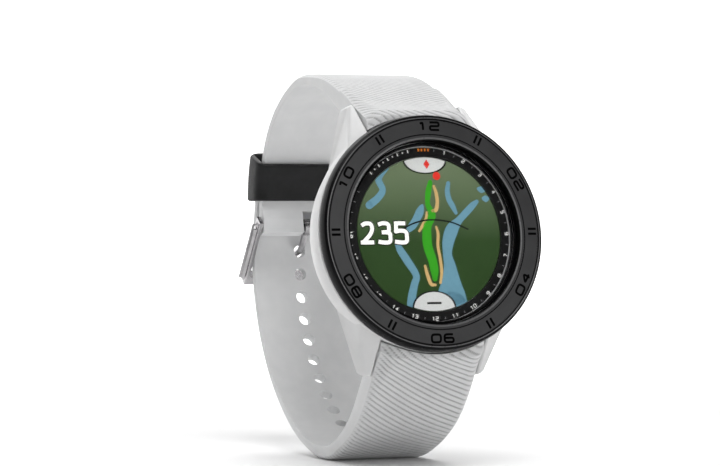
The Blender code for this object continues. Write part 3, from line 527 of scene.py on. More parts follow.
# The same for the display's rounder digits, each stroke open.
DISTANCE_DIGITS = {
    "2": (
        ((0.03, 0.88), (0.3, 1.0), (0.85, 1.0), (0.95, 0.68), (0.72, 0.4), (0.1, 0.0)),
        ((-0.12, 0.0), (1.02, 0.0)),
    ),
    "3": (
        ((0.03, 0.93), (0.4, 1.02), (0.95, 0.98), (0.92, 0.56), (0.6, 0.53), (0.3, 0.53)),
        ((0.3, 0.53), (0.65, 0.53), (1.02, 0.5), (1.02, 0.0), (0.5, -0.02), (-0.03, 0.04)),
    ),
    "5": (
        ((-0.02, 1.0), (0.95, 1.0)),
        ((0.15, 1.05), (0.1, 0.5)),
        ((0.02, 0.56), (0.45, 0.62), (1.02, 0.58), (1.02, 0.0), (0.5, -0.02), (-0.03, 0.04)),
    ),
}


def rounded(points, radius, closed):
    """The points with each corner replaced by a short arc."""
    count = len(points)
    line = []
    for i, point in enumerate(points):
        if not closed and i in (0, count - 1):
            line.append(point)
            continue
        before, after = points[i - 1] - point, points[(i + 1) % count] - point
        reach = min(radius, before.length * 0.48, after.length * 0.48)
        start, end = point + before.normalized() * reach, point + after.normalized() * reach
        for k in range(6):
            t = k / 5
            line.append((1 - t) ** 2 * start + 2 * t * (1 - t) * point + t * t * end)
    return line


def ribbon(made, line, width, closed, put):
    """A flat ribbon of constant or listed width along a 2-D line; put maps a 2-D point to 3-D."""
    count = len(line)
    widths = width if isinstance(width, (list, tuple)) else [width] * count
    edges = []
    for i, point in enumerate(line):
        before = line[i - 1] if closed or i else point
        after = line[(i + 1) % count] if closed or i < count - 1 else point
        second = (after - point).normalized()
        first = (point - before).normalized() if (point - before).length > 1e-9 else second
        second = second if (after - point).length > 1e-9 else first
        along = (first + second).normalized()
        across = Vector((-along.y, along.x))
        mitre = max(0.5, across.dot(Vector((-first.y, first.x))))
        half = across * widths[i] / 2 / mitre
        edges.append((made.verts.new(put(point + half)), made.verts.new(put(point - half))))
    pairs = list(zip(edges, edges[1:])) + ([(edges[-1], edges[0])] if closed else [])
    for (a, b), (c, d) in pairs:
        made.faces.new((a, b, d, c))


def digits_across(text, width, stroke, gap):
    """Each digit and where its strokes start, for a text centred on the origin."""
    total = len(text) * width + (len(text) - 1) * gap
    return [(digit, -total / 2 + index * (width + gap) + stroke / 2) for index, digit in enumerate(text)]


def on_grid(points, left, width, height, stroke):
    """A stroke's points, from the unit grid to a digit's place and size."""
    bottom = -height / 2 + stroke / 2
    return [Vector((left + x * (width - stroke), bottom + y * (height - stroke))) for x, y in points]


def write_digits(made, text, width, height, stroke, gap, radius, put):
    """Writes digits centred on the origin of the flat plane that put maps to the dial."""
    for digit, left in digits_across(text, width, stroke, gap):
        for closed, points in DIGITS[digit]:
            line = rounded(on_grid(points, left, width, height, stroke), radius, closed)
            ribbon(made, line, stroke, closed, put)


def write_distance(made, extra, put):
    """The screen's distance, in rounder digits. extra widens every stroke, for an outline behind them."""
    for digit, left in digits_across(DISTANCE, DISTANCE_WIDTH, DISTANCE_STROKE, DISTANCE_GAP):
        for points in DISTANCE_DIGITS[digit]:
            grid = on_grid(points, left, DISTANCE_WIDTH, DISTANCE_HEIGHT, DISTANCE_STROKE)
            line = rounded(grid, DISTANCE_CORNER_R, False)
            first = (line[0] - line[1]).normalized() * extra / 2
            last = (line[-1] - line[-2]).normalized() * extra / 2
            longer = [line[0] + first, *line[1:-1], line[-1] + last]
            ribbon(made, longer, DISTANCE_STROKE + extra, False, put)


def on_circle(degrees, radius, outward, height):
    """Maps a flat point, centred at a clock angle and radius, to the dial. Height is a function of radius."""
    angle = math.radians(degrees)
    up = Vector((math.sin(angle), math.cos(angle)))
    right = Vector((up.y, -up.x))
    turn = 1.0 if outward else -1.0

    def put(point):
        x, z = up * radius + (right * point.x + up * point.y) * turn
        return x, -height(math.hypot(x, z)), z

    return put


def flat(height, x=0.0, z=0.0):
    """Maps a flat point to the dial at one height, moved by x and z."""

    def put(point):
        return point.x + x, -height, point.y + z

    return put


def level(height):
    """The same height at every radius."""

    def height_at(_radius):
        return height

    return height_at


def face_up(made):
    """Turns every face of a flat sheet towards the wearer."""
    made.normal_update()
    turned = [face for face in made.faces if face.normal.y > 0]
    bmesh.ops.reverse_faces(made, faces=turned)


def add_sheet(name, made, look, thickness=0.012):
    """A print or inlay: a flat sheet given a thickness towards the wearer."""
    bmesh.ops.dissolve_degenerate(made, edges=made.edges, dist=0.0005)
    face_up(made)
    sides = bmesh.ops.extrude_face_region(made, geom=list(made.faces))
    moved = [item for item in sides["geom"] if isinstance(item, bmesh.types.BMVert)]
    bmesh.ops.translate(made, verts=moved, vec=(0.0, -thickness, 0.0))
    bmesh.ops.recalc_face_normals(made, faces=made.faces)
    return add_piece(name, made, look, smooth=None)


# ---------------------------------------------------------------- bezel and dial


def bezel_height(radius):
    inner, inner_height, outer, outer_height = BEZEL_FACE
    return inner_height + (outer_height - inner_height) * (radius - inner) / (outer - inner) + 0.006


def make_bezel():
    made = bmesh.new()
    turned_shape(made, BEZEL_PROFILE, 240)
    bezel = add_piece(
        "bezel_ring_detailed", made, LOOKS["grey_ceramic"], replaces=["bezel_ring"],
        smooth=28.0,
    )
    # The second look is the painted shade for the bezel's grooves and walls.
    bezel.data.materials.append(LOOKS["bezel_rim"])
    # The third look is the painted highlight for the thin lines along the bezel's edges.
    bezel.data.materials.append(LOOKS["bezel_line"])
    inverse = DIAL.inverted()
    for face in bezel.data.polygons:
        centre = inverse @ face.center
        radius = math.hypot(centre.x, centre.z)
        if any(low < radius < high for low, high in BEZEL_PAINTED_SHADE_BANDS):
            face.material_index = 1
        elif any(low < radius < high for low, high in BEZEL_PAINTED_HIGHLIGHT_BANDS):
            face.material_index = 2

    made = bmesh.new()
    for hour, text in ((0, "12"), (2, "02"), (4, "04"), (6, "06"), (8, "08"), (10, "10")):
        outward = hour in (0, 2, 10)
        put = on_circle(hour * 30, NUMERAL_R, outward, bezel_height)
        write_digits(made, text, NUMERAL_WIDTH, NUMERAL_HEIGHT, NUMERAL_STROKE, 0.35, 0.55, put)
    for hour in (1, 3, 5, 7, 9, 11):
        for side in (-1, 1):
            put = on_circle(hour * 30, NUMERAL_R, True, bezel_height)
            ends = [Vector((side * BAR_OFFSET, z)) for z in (-BAR_LENGTH / 2, 0.0, BAR_LENGTH / 2)]
            ribbon(made, ends, BAR_WIDTH, False, put)
    add_sheet("bezel_numerals", made, LOOKS["numeral_black"])


def make_ring_print():
    """Hole numbers 1 to 18 every 15 degrees, with ticks between, and plain marks where a name would be."""
    height = level(RING_H + PRINT_LIFT)

    def add_mark(made, degrees, half_length, width, radius=RING_NUMERAL_R):
        ends = [Vector((0.0, -half_length)), Vector((0.0, half_length))]
        ribbon(made, ends, width, False, on_circle(degrees, radius, True, height))

    numbers = bmesh.new()
    for hole in range(1, 19):
        put = on_circle(hole * HOLE_STEP_DEGREES, RING_NUMERAL_R, hole <= LAST_UPRIGHT_HOLE, height)
        write_digits(numbers, str(hole), RING_NUMERAL_WIDTH, RING_NUMERAL_HEIGHT, 0.15, 0.14, 0.2, put)
    add_sheet("hole_numbers", numbers, LOOKS["print_white"], RING_PRINT)
    ticks = bmesh.new()
    between_holes = [(hole + 0.5) * HOLE_STEP_DEGREES for hole in range(1, 18)]
    for degrees in (*between_holes, *EXTRA_TICKS):
        add_mark(ticks, degrees, 0.22, 0.12, RING_NUMERAL_R + 0.02)
    add_sheet("hole_ring_ticks", ticks, LOOKS["print_grey"], RING_PRINT)
    scale = bmesh.new()
    for index in range(9):
        add_mark(scale, SCALE_START + index * SCALE_STEP, 0.3 if index % 2 == 0 else 0.16, 0.2)
    add_sheet("hole_ring_scale", scale, LOOKS["print_white"], RING_PRINT)
    orange = bmesh.new()
    for degrees in ORANGE_TICKS:
        add_mark(orange, degrees, 0.26, 0.3)
    add_sheet("hole_ring_north_marks", orange, LOOKS["print_orange"], RING_PRINT)


def inside_screen(x, z):
    """Pulls a point back inside the screen's edge."""
    radius = math.hypot(x, z)
    if radius <= DISPLAY_EDGE_R:
        return Vector((x, z))
    return Vector((x, z)) * (DISPLAY_EDGE_R / radius)


def circle(x, z, radius, count):
    turns = [2 * math.pi * i / count for i in range(count)]
    return [(x + radius * math.cos(turn), z + radius * math.sin(turn)) for turn in turns]


def stream(made, stops, height):
    """A band with round ends along (x, z, width) stops, smoothed."""
    line = smooth_line(stops, steps=8)
    points = [Vector((point.x, point.y)) for point in line]
    widths = [max(0.15, point.z) for point in line]

    def put(point):
        kept = inside_screen(point.x, point.y)
        return kept.x, -height, kept.y

    ribbon(made, points, widths, False, put)
    for end, width in ((points[0], widths[0]), (points[-1], widths[-1])):
        patch(made, circle(end.x, end.y, width / 2, 16), height, smooth=False)


def patch(made, outline, height, smooth=True):
    """A filled shape on the screen."""
    points = smooth_line(outline, closed=True, steps=6) if smooth else [Vector(point) for point in outline]
    verts = []
    for point in points:
        kept = inside_screen(point.x, point.y)
        verts.append(made.verts.new((kept.x, -height, kept.y)))
    face = made.faces.new(verts)
    bmesh.ops.triangulate(made, faces=[face])


def cap_outline(z_chord, reach):
    """The part of the screen beyond a chord at z, on the side of its sign, as a rounded-corner outline."""
    sign = math.copysign(1.0, z_chord)
    outline = []
    for i in range(17):
        x = reach * (1 - i / 8)
        outline.append((x, sign * math.sqrt(DISPLAY_EDGE_R ** 2 - x * x)))
    bulge = abs(outline[0][1]) - abs(z_chord)
    for i in range(1, 16):
        angle = math.pi * i / 16
        outline.append((-reach * math.cos(angle), sign * (abs(outline[0][1]) - bulge * math.sin(angle))))
    return outline


def make_screen():
    """A plain golf hole seen from above: water, fairway, sand, a distance and two touch buttons."""
    first, second, third, fourth = (DISPLAY_H + PRINT_LIFT + LAYER * (1 + index) for index in range(4))

    water = bmesh.new()
    for stops in (
        ((-8.2, 13.0, 1.3), (-9.9, 10.8, 1.4), (-9.2, 8.6, 1.3), (-10.3, 7.0, 1.4), (-12.2, 5.6, 1.5)),
        ((4.7, 9.9, 0.8), (4.4, 8.4, 1.0), (4.6, 6.8, 1.1), (5.3, 5.4, 1.1), (5.9, 4.1, 0.7)),
        ((10.5, 6.3, 0.8), (9.5, 5.5, 1.3), (8.2, 4.3, 1.4), (6.4, 2.6, 1.5), (4.8, 0.8, 2.6),
         (3.8, -1.6, 2.4), (3.5, -4.0, 1.9), (3.8, -6.2, 2.5), (3.9, -9.0, 3.8), (3.8, -11.4, 5.6),
         (3.9, -14.4, 6.4)),
        ((-6.9, -1.9, 1.0), (-6.3, -3.2, 1.5), (-4.9, -5.4, 1.6), (-3.4, -8.0, 1.4), (-3.9, -9.8, 1.5),
         (-4.6, -12.2, 1.7), (-4.9, -14.6, 1.9)),
    ):
        stream(water, stops, first)
    for outline in (
        ((-1.0, 5.8), (-0.9, 4.2), (-1.8, 2.6), (-3.0, 1.0), (-4.8, 0.2), (-4.6, 1.4), (-3.4, 3.0),
         (-2.2, 5.0)),
        ((10.7, 8.9), (11.9, 9.3), (12.7, 8.6), (11.6, 8.0)),
        ((11.6, 6.9), (12.4, 7.5), (13.2, 6.9), (12.5, 6.2)),
    ):
        patch(water, outline, first)
    add_sheet("screen_water", water, LOOKS["screen_water"], SCREEN_PRINT)

    fairway = bmesh.new()
    middle = (
        (0.9, 10.1, 0.9), (0.35, 8.2, 1.2), (0.05, 5.8, 1.0), (0.8, 3.7, 1.5), (-0.3, 1.6, 1.7),
        (-0.6, -0.6, 1.9), (-0.5, -2.6, 1.9), (0.2, -5.0, 1.8), (0.5, -7.0, 1.7), (0.5, -8.7, 1.0),
    )
    stream(fairway, middle, second)
    add_sheet("screen_fairway", fairway, LOOKS["screen_fairway"], SCREEN_PRINT)

    sand = bmesh.new()
    for stops in (
        ((1.6, 9.3, 0.5), (2.0, 7.9, 0.7), (2.1, 6.2, 0.7), (1.7, 4.7, 0.8), (0.9, 4.5, 0.5)),
        ((-0.3, 4.2, 0.4), (-0.5, 3.0, 0.6), (-1.4, 1.6, 0.6), (-2.1, 0.6, 0.5)),
        ((1.5, 1.4, 0.4), (1.8, 0.0, 0.6), (1.6, -2.4, 0.6), (1.9, -4.8, 0.6), (2.0, -7.4, 0.6),
         (1.6, -9.5, 0.5)),
        ((-1.4, -6.2, 0.5), (-1.0, -8.0, 0.7), (-0.4, -9.7, 0.7), (0.5, -9.9, 0.5)),
    ):
        stream(sand, stops, second)
    add_sheet("screen_sand", sand, LOOKS["screen_sand"], SCREEN_PRINT)

    dark = bmesh.new()
    range_arc = ((-5.6, 1.0, 0.28), (-2.8, 2.2, 0.3), (0.5, 2.75, 0.3), (4.6, 2.3, 0.3), (8.2, 0.9, 0.28))
    stream(dark, range_arc, third)
    outlines = (cap_outline(11.7, 4.6), cap_outline(-11.0, 4.6))
    for outline in outlines:
        patch(dark, outline, second, smooth=False)
    write_distance(dark, DISTANCE_OUTLINE, flat(third, *DISTANCE_PLACE))
    add_sheet("screen_outlines", dark, LOOKS["screen_black"], SCREEN_TOP_PRINT)

    grey = bmesh.new()
    for outline, sign in zip(outlines, (1, -1)):
        inner = [(x * 0.93, z + (0.24 * sign if abs(z) < 14.1 else 0.0)) for x, z in outline]
        patch(grey, inner, third, smooth=False)
    add_sheet("screen_buttons", grey, LOOKS["screen_panel"], SCREEN_TOP_PRINT)

    digits = bmesh.new()
    write_distance(digits, 0.0, flat(fourth, *DISTANCE_PLACE))
    add_sheet("screen_distance", digits, LOOKS["screen_white"], SCREEN_TOP_PRINT)

    black = bmesh.new()
    ribbon(black, [Vector((-1.5, -13.4)), Vector((1.5, -13.4))], 0.4, False, flat(fourth))
    add_sheet("screen_minus", black, LOOKS["screen_black"], SCREEN_TOP_PRINT)

    red = bmesh.new()
    patch(red, ((0.35, 14.55), (1.0, 13.6), (0.35, 12.65), (-0.3, 13.6)), fourth, smooth=False)
    patch(red, circle(2.3, 11.3, 0.8, 24), fourth, smooth=False)
    add_sheet("screen_pins", red, LOOKS["screen_red"], SCREEN_TOP_PRINT)


# ---------------------------------------------------------------- straps


def arc_point(radius, degrees):
    angle = math.radians(degrees)
    return KEEPER_ARC_CENTRE[0] + radius * math.cos(angle), KEEPER_ARC_CENTRE[1] + radius * math.sin(angle)


def pin_centre():
    return Vector(arc_point(BUCKLE_STRAP_ARC_R, math.degrees(PIN_ANGLE)))


def even_path(points, step):
    """Evenly spaced (position, distance) pairs along a smooth line through (Y, Z) points."""
    dense = smooth_line(points, steps=24)
    lengths = [0.0]
    for first, second in zip(dense, dense[1:]):
        lengths.append(lengths[-1] + (second - first).length)
    count = max(2, round(lengths[-1] / step))
    path = []
    index = 0
    for i in range(count + 1):
        target = lengths[-1] * i / count
        while index < len(dense) - 2 and lengths[index + 1] < target:
            index += 1
        share = (target - lengths[index]) / (lengths[index + 1] - lengths[index])
        path.append((dense[index].lerp(dense[index + 1], share), target))
    return path


class Path:
    """A strap's centre line: where it is, and which way is out, at any distance along it."""

    def __init__(self, points, outward):
        self.path = even_path(points, 0.1)
        self.total = self.path[-1][1]
        self.outward = outward

    def at(self, distance):
        share = max(0.0, min(1.0, distance / self.total)) * (len(self.path) - 1)
        index = min(int(share), len(self.path) - 2)
        here, there = self.path[index][0], self.path[index + 1][0]
        before = self.path[max(index - 12, 0)][0]
        after = self.path[min(index + 13, len(self.path) - 1)][0]
        along = (after - before).normalized()
        return here.lerp(there, share - index), Vector((-along.y, along.x)) * self.outward


def blend_between(distance, stops):
    """Straight-line interpolation through (distance, value) stops."""
    for (start, low), (end, high) in zip(stops, stops[1:]):
        if distance <= end:
            return low + (high - low) * max(0.0, distance - start) / (end - start)
    return stops[-1][1]


def ease(value):
    """A smooth step from 0 to 1."""
    value = max(0.0, min(1.0, value))
    return value * value * (3 - 2 * value)


def strap_section(half, thick, out, drop, edge):
    """Points across the strap as (x, out), round the inside, a side, the outside, a side.

    The outside's edges fall away by drop over the width edge.
    """
    points = []
    for share in (-0.97, -0.8, -0.5, 0.0, 0.5, 0.8, 0.97):
        points.append((share * half, -thick + INSIDE_HOLLOW * math.cos(share * math.pi / 2)))
    points += [(half - 0.08, -thick + 0.08), (half, -thick + 0.3), (half, 0.0)]
    first_outside = len(points)
    for i in range(ACROSS + 1):
        x = half * (1.0 - 2.0 * i / ACROSS)
        fall = max(0.0, 1.0 - (half - abs(x)) / edge)
        points.append((x, out - drop * fall * fall))
    points += [(-half, 0.0), (-half, -thick + 0.3), (-half + 0.08, -thick + 0.08)]
    return points, first_outside


def strap_mesh(path, widths, thicknesses, lead_out, edge_drops, grooved_end, lean, tip=0.0):
    """A strap with diagonal grooves moulded on its outside.

    The grooves fade out at the distance grooved_end, and lean is 1 or -1. A vertex attribute is 1 in the bottom of
    each groove, where the silicone gets painted shade.
    """
    made = bmesh.new()
    # Groove depth per vertex, which also places the painted shade in the groove bottoms.
    painted_shade_layer = made.verts.layers.float.new("painted_groove_shade")
    rows = round(path.total / ROW_STEP)
    rings = []
    for row in range(rows + 1):
        base = path.total * row / rows
        fade = ease((grooved_end - base) / GROOVE_FADE)
        half = blend_between(base, widths)
        from_end = path.total - base
        if from_end < tip:
            half -= tip * 0.8 * (1.0 - math.sqrt(max(0.0, 1.0 - (1.0 - from_end / tip) ** 2)))
        thick = blend_between(base, thicknesses) / 2
        out = blend_between(base, lead_out) if base < lead_out[-1][0] else thick
        drop = min(blend_between(base, edge_drops), out * 0.6)
        section, first_outside = strap_section(half, thick, out, drop, blend_between(base, EDGE_WIDTHS))
        centre, normal = path.at(base)
        ring = []
        for index, (x, rise) in enumerate(section):
            depth = 0.0
            if first_outside <= index <= first_outside + ACROSS:
                slant = GROOVE_SLOPE * lean * (x - GROOVE_BEND * x * x)
                phase = ((base - slant) / GROOVE_PITCH) % 1.0
                valley = ease(1.0 - abs(phase - 0.5) / GROOVE_HALF_WIDTH)
                depth = valley * fade * ease((half - abs(x)) / GROOVE_RIM)
            rise -= GROOVE_DEPTH * depth
            vertex = made.verts.new((x, centre.x + normal.x * rise, centre.y + normal.y * rise))
            vertex[painted_shade_layer] = depth
            ring.append(vertex)
        rings.append(ring)
    for first, second in zip(rings, rings[1:]):
        for i in range(len(first)):
            j = (i + 1) % len(first)
            made.faces.new((first[i], first[j], second[j], second[i]))
    made.faces.new(rings[0])
    made.faces.new(rings[-1])
    bmesh.ops.recalc_face_normals(made, faces=made.faces)
    return made


def lug_end_cutters(end):
    """Room for the case, the bar's bore and the release knob's slot at a strap's end."""
    case = bmesh.new()
    profile = ((23.2, 5.0), (23.2, -3.4), (21.8, -9.0), (21.8, -14.0))
    rings = []
    for i in range(128):
        angle = 2 * math.pi * i / 128
        rings.append([case.verts.new((r * math.sin(angle), -h, r * math.cos(angle))) for r, h in profile])
    for first, second in zip(rings, rings[1:] + rings[:1]):
        for i in range(3):
            case.faces.new((first[i], first[i + 1], second[i + 1], second[i]))
    case.faces.new([ring[0] for ring in rings])
    case.faces.new([ring[-1] for ring in rings])
    bore = bmesh.new()
    rod_shape(bore, (-14.0, BAR_Y, end * BAR_Z), (14.0, BAR_Y, end * BAR_Z), BAR_BORE_R)
    slot = bmesh.new()
    box_shape(slot, (5.6, BAR_Y, end * BAR_Z - 1.0), (9.0, BAR_Y + 6.0, end * BAR_Z + 1.0))
    return [add_cutter("cut_case", case), add_cutter("cut_bore", bore), add_cutter("cut_slot", slot)]


def make_buckle_strap():
    start = Vector((BAR_Y, BAR_Z))
    before = start - (Vector(BUCKLE_STRAP_BENDS[0]) - start).normalized() * LEAD_BUCKLE
    bends = [before, start, *BUCKLE_STRAP_BENDS]
    bends += [arc_point(BUCKLE_STRAP_ARC_R, degrees) for degrees in range(62, -5, -6)]
    bends.append(arc_point(BUCKLE_STRAP_ARC_R, math.degrees(PIN_ANGLE) - 3.6))
    path = Path(bends, 1)
    boss = ((path.total - 7.0, STRAP_THIN), (path.total - 3.0, 3.0), (FAR, 3.0))
    made = strap_mesh(
        path, BUCKLE_STRAP_WIDTHS, BUCKLE_STRAP_THICKNESSES + boss, BUCKLE_LEAD_OUT, BUCKLE_EDGE_DROPS,
        path.total - 30.0, -1.0,
    )
    strap = add_piece("buckle_strap_grooved", made, LOOKS["white_silicone"],
                      replaces=["buckle_strap"], smooth=None)
    pin = pin_centre()
    bore, slot = bmesh.new(), bmesh.new()
    rod_shape(bore, (-14.0, *pin), (14.0, *pin), PIN_BORE_R)
    box_shape(slot, (-1.5, pin.x - 5.0, pin.y - 6.0), (1.5, pin.x + 5.0, pin.y + 3.2))
    cut(strap, lug_end_cutters(1) + [add_cutter("cut_buckle_bore", bore), add_cutter("cut_tang_slot", slot)])
    smooth_by_angle(strap, 40.0)


def make_tail_strap():
    start = Vector((BAR_Y, -BAR_Z))
    before = start - (Vector(TAIL_BENDS[0]) - start).normalized() * LEAD_TAIL
    tail_arc = [arc_point(TAIL_ARC_R, degrees) for degrees in TAIL_ARC_ANGLES]
    path = Path([before, start, *TAIL_BENDS, *tail_arc], -1)
    made = strap_mesh(
        path, TAIL_WIDTHS, TAIL_THICKNESSES, TAIL_LEAD_OUT, TAIL_EDGE_DROPS, 62.0, 1.0, tip=TAIL_TIP
    )
    strap = add_piece("tail_strap_grooved", made, LOOKS["white_silicone"],
                      replaces=["tail_strap"], smooth=None)
    holes = bmesh.new()
    for centre, normal in hole_places([start, *TAIL_BENDS, *tail_arc]):
        rod_shape(holes, (0.0, *(centre - normal * 4.0)), (0.0, *(centre + normal * 4.0)), HOLE_R, 40)
    cut(strap, lug_end_cutters(-1) + [add_cutter("cut_holes", holes)])
    smooth_by_angle(strap, 40.0)


def hole_places(bends):
    path = Path(bends, -1)
    steps = int(path.total / 0.1)
    tang = min(range(steps // 2, steps), key=lambda i: abs(path.at(i * 0.1)[0].y - TANG_HOLE_Z)) * 0.1
    for number in range(HOLES_BELOW_TANG + 1):
        yield path.at(tang - number * HOLE_PITCH)


# ---------------------------------------------------------------- keeper


def rounded_loop(half_x, low, high, radius, steps=6):
    """A rounded rectangle as (x, distance from the arc's centre) points."""
    loop = []
    for cx, cy, start in ((half_x - radius, high - radius, 0), (-half_x + radius, high - radius, 90),
                          (-half_x + radius, low + radius, 180), (half_x - radius, low + radius, 270)):
        for i in range(steps + 1):
            angle = math.radians(start + 90 * i / steps)
            loop.append((cx + radius * math.cos(angle), cy + radius * math.sin(angle)))
    return loop


def make_keeper():
    """The rubber loop: its wall swept round the strap's arc, with rounded rims."""
    joint = JOINTS["keeper_slide"]
    low = BUCKLE_STRAP_ARC_R - STRAP_THIN / 2 - KEEPER_FIT
    high = TAIL_ARC_R + STRAP_THIN / 2 + KEEPER_FIT
    half, wall, rim = KEEPER_HALF_WIDTH, KEEPER_WALL, KEEPER_RIM
    middle = (low + high) / 2
    half_turn = KEEPER_HALF_LENGTH / middle
    stations = []
    for i in range(5):
        angle = math.pi / 2 * i / 4
        stations.append((rim * (1 - math.cos(angle)), 1.0 - math.sin(angle)))
    made = bmesh.new()
    rings = []
    along = [(-half_turn + depth / middle, inset) for depth, inset in stations]
    along += [(half_turn * (k / 6), 0.0) for k in range(-5, 6)]
    along += [(half_turn - depth / middle, inset) for depth, inset in reversed(stations)]
    for angle, inset in along:
        pull = inset * rim
        outer = rounded_loop(half + wall - pull, low - wall + pull, high + wall - pull, KEEPER_CORNER_R)
        inner = rounded_loop(half + pull * 0.5, low - pull * 0.3, high + pull * 0.3, 0.35)
        ring = []
        for loop in (outer, inner):
            places = [(x, *arc_point(r, KEEPER_DEGREES + math.degrees(angle))) for x, r in loop]
            ring.append([made.verts.new(place) for place in places])
        rings.append(ring)
    count = len(rings[0][0])
    for first, second in zip(rings, rings[1:]):
        for k in (0, 1):
            for i in range(count):
                j = (i + 1) % count
                made.faces.new((first[k][i], first[k][j], second[k][j], second[k][i]))
    for ring in (rings[0], rings[-1]):
        for i in range(count):
            j = (i + 1) % count
            made.faces.new((ring[0][i], ring[0][j], ring[1][j], ring[1][i]))
    bmesh.ops.recalc_face_normals(made, faces=made.faces)
    add_piece("keeper_loop_rounded", made, LOOKS["black_rubber"], body=joint["child"],
              replaces=["keeper_loop"], smooth=45.0)


# ---------------------------------------------------------------- CAD nodes that are shown


NODE_BEVELS = {
    "case_body": 0.1, "rear_cover": 0.08, "buckle_frame": 0.28, "action_key": 0.06, "charging_port": 0.05,
    "rear_screw_1": 0.04, "rear_screw_2": 0.04, "rear_screw_3": 0.04, "rear_screw_4": 0.04,
}


def blacken_lens_rim(lens):
    """Makes the glass's faces black outside the ring of hole numbers, so its edge shows dark."""
    lens.data.materials.append(LOOKS["black_plastic"])
    to_dial = DIAL.inverted() @ lens.matrix_world
    for face in lens.data.polygons:
        centre = to_dial @ face.center
        if math.hypot(centre.x, centre.z) > LENS_CLEAR_R:
            face.material_index = 1


def dress_cad_nodes():
    """Gives every CAD node its procedural material, joined faces, softened edges and smooth shading."""
    for part in frame["record"]["subparts"]:
        node = frame["nodes"][part["node"]]
        node.data.materials.clear()
        node.data.materials.append(LOOKS[part["material_slot"]])
        for face in node.data.polygons:
            face.use_smooth = True
        if part["node"] == "lens":
            blacken_lens_rim(node)
        weld = node.modifiers.new("weld", "WELD")
        weld.merge_threshold = 0.000002
        width = NODE_BEVELS.get(part["node"])
        if width:
            bevel = node.modifiers.new("softened_edges", "BEVEL")
            bevel.width = width * MM
            bevel.segments = 2
            bevel.limit_method = "ANGLE"
            bevel.angle_limit = math.radians(32.0)
            bevel.use_clamp_overlap = True
        split = node.modifiers.new("sharp_edges", "EDGE_SPLIT")
        split.split_angle = math.radians(35.0)


# ---------------------------------------------------------------- stage, lights, camera


def make_stage():
    floor_look = Look("pale_floor", (0.9, 0.9, 0.9), 0.6)
    floor_look.colour(floor_look.noise(0.01, 2.0), (0.89, 0.89, 0.89), (0.91, 0.91, 0.91))
    split = floor_look.nodes.new("ShaderNodeSeparateXYZ")
    floor_look.links.new(floor_look.place, split.inputs["Vector"])
    glow = floor_look.span(split.outputs["Y"], 0.0, 1.0, 0.1, 0.6)
    floor_look.links.new(glow, floor_look.shader.inputs["Emission Strength"])
    floor_look.set(Emission_Color=(1.0, 1.0, 1.0, 1.0))
    made = bmesh.new()
    reach, front, back, rise, bend = 3.0, -2.5, 1.1, 2.4, 0.5
    turns = [a * math.pi / 24 for a in range(1, 13)]
    outline = [(front, 0.0), (back, 0.0)]
    outline += [(back + bend * math.sin(a), bend * (1 - math.cos(a))) for a in turns]
    outline.append((back + bend, rise))
    rows = [[made.verts.new((x, y, CAD_BOX[0].z + z)) for x in (-reach, reach)] for y, z in outline]
    for (a, b), (c, d) in zip(rows, rows[1:]):
        made.faces.new((a, b, d, c))
    mesh = bpy.data.meshes.new("floor")
    made.to_mesh(mesh)
    made.free()
    mesh.materials.append(floor_look.material)
    mesh.shade_smooth()
    floor = bpy.data.objects.new("floor", mesh)
    bpy.context.scene.collection.objects.link(floor)


def add_light(name, place, target, size, power):
    data = bpy.data.lights.new(name, "AREA")
    data.shape = "RECTANGLE"
    data.size, data.size_y = size
    data.energy = power
    light = bpy.data.objects.new(name, data)
    light.location = place
    light.rotation_euler = (Vector(target) - Vector(place)).to_track_quat("-Z", "Y").to_euler()
    bpy.context.scene.collection.objects.link(light)


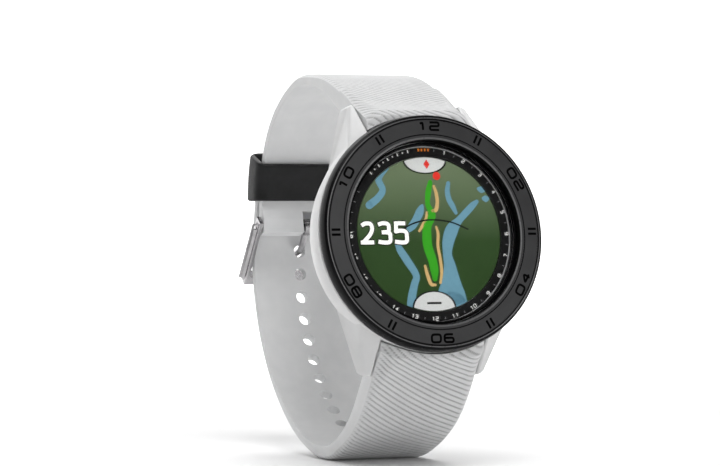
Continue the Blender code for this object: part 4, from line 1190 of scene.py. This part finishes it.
def make_lights():
    world = bpy.data.worlds.new("studio")
    world.use_nodes = True
    background = world.node_tree.nodes["Background"]
    background.inputs["Color"].default_value = (1.0, 1.0, 1.0, 1.0)
    background.inputs["Strength"].default_value = 0.1
    bpy.context.scene.world = world
    bpy.context.scene.view_settings.view_transform = "Standard"
    target = DIAL.translation
    add_light("key_light", target + Vector((-0.1, -0.45, 0.85)), target, (0.5, 0.4), 5.2)
    add_light("back_light", target + Vector((0.1, 0.6, 0.8)), target, (0.8, 0.4), 4.0)
    add_light("sheen_light", target + Vector((0.15, -0.84, 0.27)), target, (0.12, 0.35), 0.9)
    add_light("low_light", target + Vector((0.7, -0.7, -0.02)), target, (0.35, 0.3), 2.2)


def make_camera():
    """Turned 23 degrees to the left from straight ahead of the watch, almost level with the dial."""
    data = bpy.data.cameras.new("camera")
    data.lens = 156.25
    data.sensor_width = 36.0
    data.clip_start, data.clip_end = 0.01, 20.0
    camera = bpy.data.objects.new("camera", data)
    azimuth, elevation = math.radians(-22.97), math.radians(0.62)
    back = Vector((
        math.sin(azimuth) * math.cos(elevation), -math.cos(azimuth) * math.cos(elevation), math.sin(elevation)
    ))
    right = (-back).cross(Vector((0.0, 0.0, 1.0))).normalized()
    up = right.cross(-back)
    camera.location = DIAL.translation + back * 0.6 - right * 0.01346 + up * 0.00014
    camera.rotation_euler = Matrix((right, up, back)).transposed().to_euler()
    bpy.context.scene.collection.objects.link(camera)
    bpy.context.scene.camera = camera


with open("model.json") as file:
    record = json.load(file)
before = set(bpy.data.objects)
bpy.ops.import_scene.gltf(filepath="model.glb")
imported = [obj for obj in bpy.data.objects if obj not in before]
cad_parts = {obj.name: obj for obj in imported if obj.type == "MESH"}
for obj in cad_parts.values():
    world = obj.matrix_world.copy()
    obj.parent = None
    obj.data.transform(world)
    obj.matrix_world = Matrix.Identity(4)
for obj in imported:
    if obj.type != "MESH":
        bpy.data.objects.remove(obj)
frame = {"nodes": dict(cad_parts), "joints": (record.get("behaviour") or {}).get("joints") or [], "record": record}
CAD_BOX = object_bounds()
JOINTS = {joint["name"]: joint for joint in frame["joints"]}
DIAL = dial_matrix(JOINTS)
LOOKS = make_looks()
dress_cad_nodes()
make_bezel()
make_ring_print()
make_screen()
make_buckle_strap()
make_tail_strap()
make_keeper()
make_stage()
make_lights()
make_camera()
